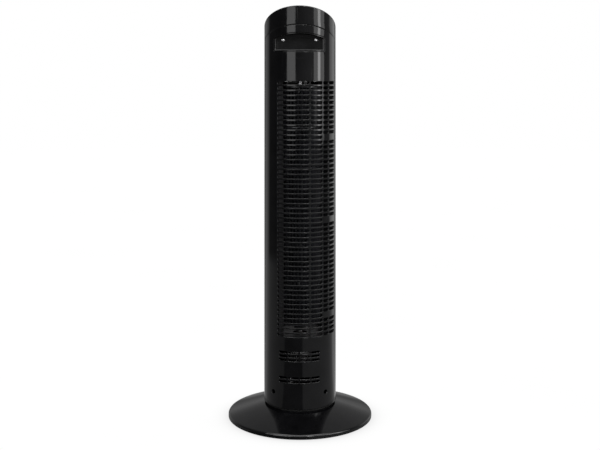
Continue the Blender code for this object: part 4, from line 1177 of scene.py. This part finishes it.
# how bright the fan sees the studio at each bearing: low down all round, and on the floor beside it
studioWalls = ((-180, 0.16), (-156, 0.16), (-148, 0.44), (-124, 0.38), (-112, 0.055), (-48, 0.045),
               (-12, 0.11), (12, 0.17), (43, 0.28), (50, 0.17), (108, 0.19), (114, 0.95), (140, 1.05),
               (149, 0.62), (156, 0.16), (180, 0.16))
studioPaper = ((-180, 0.20), (-152, 0.26), (-142, 0.45), (-122, 0.36), (-108, 0.25), (-60, 0.19),
               (-48, 0.18), (-45, 0.065), (7, 0.065), (10, 0.25), (100, 0.28), (116, 0.36), (126, 0.70),
               (140, 0.66), (152, 0.27), (180, 0.20))
studioSky = {"band": 0.42, "ceiling": 0.14, "ceilingBehind": 0.26, "zenith": 3.2}


def bearingRamp(tree, x, y, stops):
    # grey by bearing: the angle of a point or a direction round the upright axis, looked up in a row of stops
    angle = add(tree, "ShaderNodeMath", operation="ARCTAN2")
    tree.links.new(combine(tree, x, -1.0, "MULTIPLY"), angle.inputs[0])
    tree.links.new(y, angle.inputs[1])
    look = add(tree, "ShaderNodeValToRGB")
    points = look.color_ramp.elements
    for number, (bearing, grey) in enumerate(stops):
        place = (bearing + 180.0) / 360.0
        point = points[number] if number < 2 else points.new(place)
        point.position, point.color = place, (grey, grey, grey, 1.0)
    tree.links.new(ramp(tree, angle.outputs["Value"], 0.0, 1.0, -math.pi, math.pi), look.inputs["Fac"])
    return look.outputs["Color"]


def splitVector(tree, source):
    split = tree.nodes.new("ShaderNodeSeparateXYZ")
    tree.links.new(source, split.inputs["Vector"])
    return split.outputs["X"], split.outputs["Y"], split.outputs["Z"]


def forTheEye(tree, seen, mirrored):
    # one look for the camera and another for reflections and light
    path = tree.nodes.new("ShaderNodeLightPath")
    choose = tree.nodes.new("ShaderNodeMixShader")
    tree.links.new(path.outputs["Is Camera Ray"], choose.inputs["Fac"])
    tree.links.new(mirrored, choose.inputs[1])
    tree.links.new(seen, choose.inputs[2])
    return choose.outputs["Shader"]


def makeFloor():
    # a disc; its paper is white, with a soft shadow that fades from the fan's rim
    turn = np.radians(np.linspace(0, 360, 96, endpoint=False))[:, None]
    radii = np.array([0.0, 0.3, 1.0, 2.5, studio["floorRadius"]])
    points = np.stack([radii * np.cos(turn), radii * np.sin(turn), np.zeros((96, 5))], -1)
    vertices, faces = sheet(points, closeRows=True)
    mesh = bpy.data.meshes.new("studio_floor")
    mesh.from_pydata(vertices.tolist(), [], [tuple(int(i) for i in f) for f in faces])
    mergePoints(mesh, 1e-6)
    floor = bpy.data.objects.new("studio_floor", mesh)
    bpy.context.scene.collection.objects.link(floor)
    made = bpy.data.materials.new("floor_paper")
    made.use_nodes = True
    tree = made.node_tree
    tree.nodes.clear()
    where = tree.nodes.new("ShaderNodeTexCoord").outputs["Object"]
    x, y, _ = splitVector(tree, where)
    away = add(tree, "ShaderNodeVectorMath", operation="LENGTH")
    tree.links.new(where, away.inputs[0])
    radius = away.outputs["Value"]
    rim = cadHigh.x
    past = combine(tree, combine(tree, radius, rim, "SUBTRACT"), -1.0 / studio["shadowWidth"], "MULTIPLY")
    fade = add(tree, "ShaderNodeMath", operation="EXPONENT")
    tree.links.new(past, fade.inputs[0])
    shade = combine(tree, fade.outputs["Value"], -studio["shadowDepth"], "MULTIPLY")
    paper = combine(tree, shade, ramp(tree, noise(tree, 3.0, 3.0), 1.0, 1.012), "ADD")
    seen = tree.nodes.new("ShaderNodeEmission")
    tree.links.new(paper, seen.inputs["Strength"])
    edge = ramp(tree, radius, 0.0, 1.0, studio["paperRadius"] - studio["paperFade"],
                studio["paperRadius"] + studio["paperFade"])
    mirrored = tree.nodes.new("ShaderNodeEmission")
    near, far = bearingRamp(tree, x, y, studioPaper), bearingRamp(tree, x, y, studioWalls)
    tree.links.new(mixColours(tree, edge, near, far), mirrored.inputs["Color"])
    shown = forTheEye(tree, seen.outputs["Emission"], mirrored.outputs["Emission"])
    tree.links.new(shown, tree.nodes.new("ShaderNodeOutputMaterial").inputs["Surface"])
    mesh.materials.append(made)


def makeWorld():
    # white for the eye; for reflections and light, walls of uneven brightness, a band behind the fan, a dim
    # ceiling and a bright zenith; z runs from 0 at the horizon to 1 straight up
    world = bpy.data.worlds.new("studio")
    bpy.context.scene.world = world
    world.use_nodes = True
    tree = world.node_tree
    tree.nodes.clear()
    x, y, z = splitVector(tree, tree.nodes.new("ShaderNodeTexCoord").outputs["Generated"])
    behind = ramp(tree, y, 1.0, 0.0, -0.45, -0.20)
    rise = ramp(tree, z, 0.0, 1.0, 0.08, 0.26)
    fall = ramp(tree, z, 1.0, 0.0, 0.26, 0.52)
    band = combine(tree, behind, combine(tree, rise, fall, "MULTIPLY"), "MULTIPLY")
    overhead = ramp(tree, z, 0.0, 1.0, 0.26, 0.52)
    walls = mixColours(tree, band, bearingRamp(tree, x, y, studioWalls), (studioSky["band"],) * 3)
    ceiling = mixColours(tree, behind, (studioSky["ceiling"],) * 3, (studioSky["ceilingBehind"],) * 3)
    lit = mixColours(tree, ramp(tree, z, 0.0, 1.0, 0.88, 0.95), ceiling, (studioSky["zenith"],) * 3)
    light = tree.nodes.new("ShaderNodeBackground")
    tree.links.new(mixColours(tree, overhead, walls, lit), light.inputs["Color"])
    plain = tree.nodes.new("ShaderNodeBackground")
    plain.inputs["Color"].default_value = (1.0, 1.0, 1.0, 1.0)
    shown = forTheEye(tree, plain.outputs["Background"], light.outputs["Background"])
    tree.links.new(shown, tree.nodes.new("ShaderNodeOutputWorld").inputs["Surface"])


# bearing, distance, lowest and highest point, width, brightness
softBoxes = {
    "bright_box": (64.7, 1.90, 0.36, 1.90, 1.32, 1.55),
    "bright_core": (64.2, 1.85, 0.36, 1.90, 0.30, 4.2),
    "dim_box": (-26.8, 2.20, 0.30, 1.90, 1.06, 1.65),
    "high_core": (17.5, 2.38, 1.35, 2.00, 0.42, 13.0),
    "high_left": (-39.0, 2.40, 1.30, 2.00, 1.60, 4.2),
    "high_middle": (0.0, 2.40, 1.30, 2.00, 1.60, 4.2),
    "high_right": (39.0, 2.40, 1.30, 2.00, 1.60, 4.2),
}


def makeLights():
    # low boxes shine level; high ones are turned down to the middle of the column
    for name, (bearing, distance, foot, head, width, brightness) in softBoxes.items():
        turn = math.radians(bearing)
        lamp = bpy.data.lights.new(name, "AREA")
        lamp.shape = "RECTANGLE"
        lamp.size, lamp.size_y = width, head - foot
        lamp.energy = brightness * math.pi * width * (head - foot)
        middle = (foot + head) / 2
        aim = studio["aimHeight"] if foot > 1.0 else middle
        spot = Vector((-distance * math.sin(turn), distance * math.cos(turn), middle))
        light = bpy.data.objects.new(name, lamp)
        bpy.context.scene.collection.objects.link(light)
        light.location = spot
        light.rotation_euler = (Vector((0.0, 0.0, aim)) - spot).to_track_quat("-Z", "Y").to_euler()
        light.visible_camera = False


def makeCamera():
    turn = math.radians(studio["cameraAzimuth"])
    lens = bpy.data.cameras.new("camera")
    lens.lens, lens.shift_y = studio["lens"], studio["shift"]
    camera = bpy.data.objects.new("camera", lens)
    bpy.context.scene.collection.objects.link(camera)
    camera.location = (studio["cameraDistance"] * math.sin(turn), -studio["cameraDistance"] * math.cos(turn),
                       studio["cameraHeight"])
    camera.rotation_euler = (math.radians(90.0 - studio["cameraTilt"]), 0.0, turn)
    bpy.context.scene.camera = camera


makeFloor()
makeWorld()
makeLights()
makeCamera()
bpy.context.scene.view_settings.view_transform = "Standard"
print("studio made")
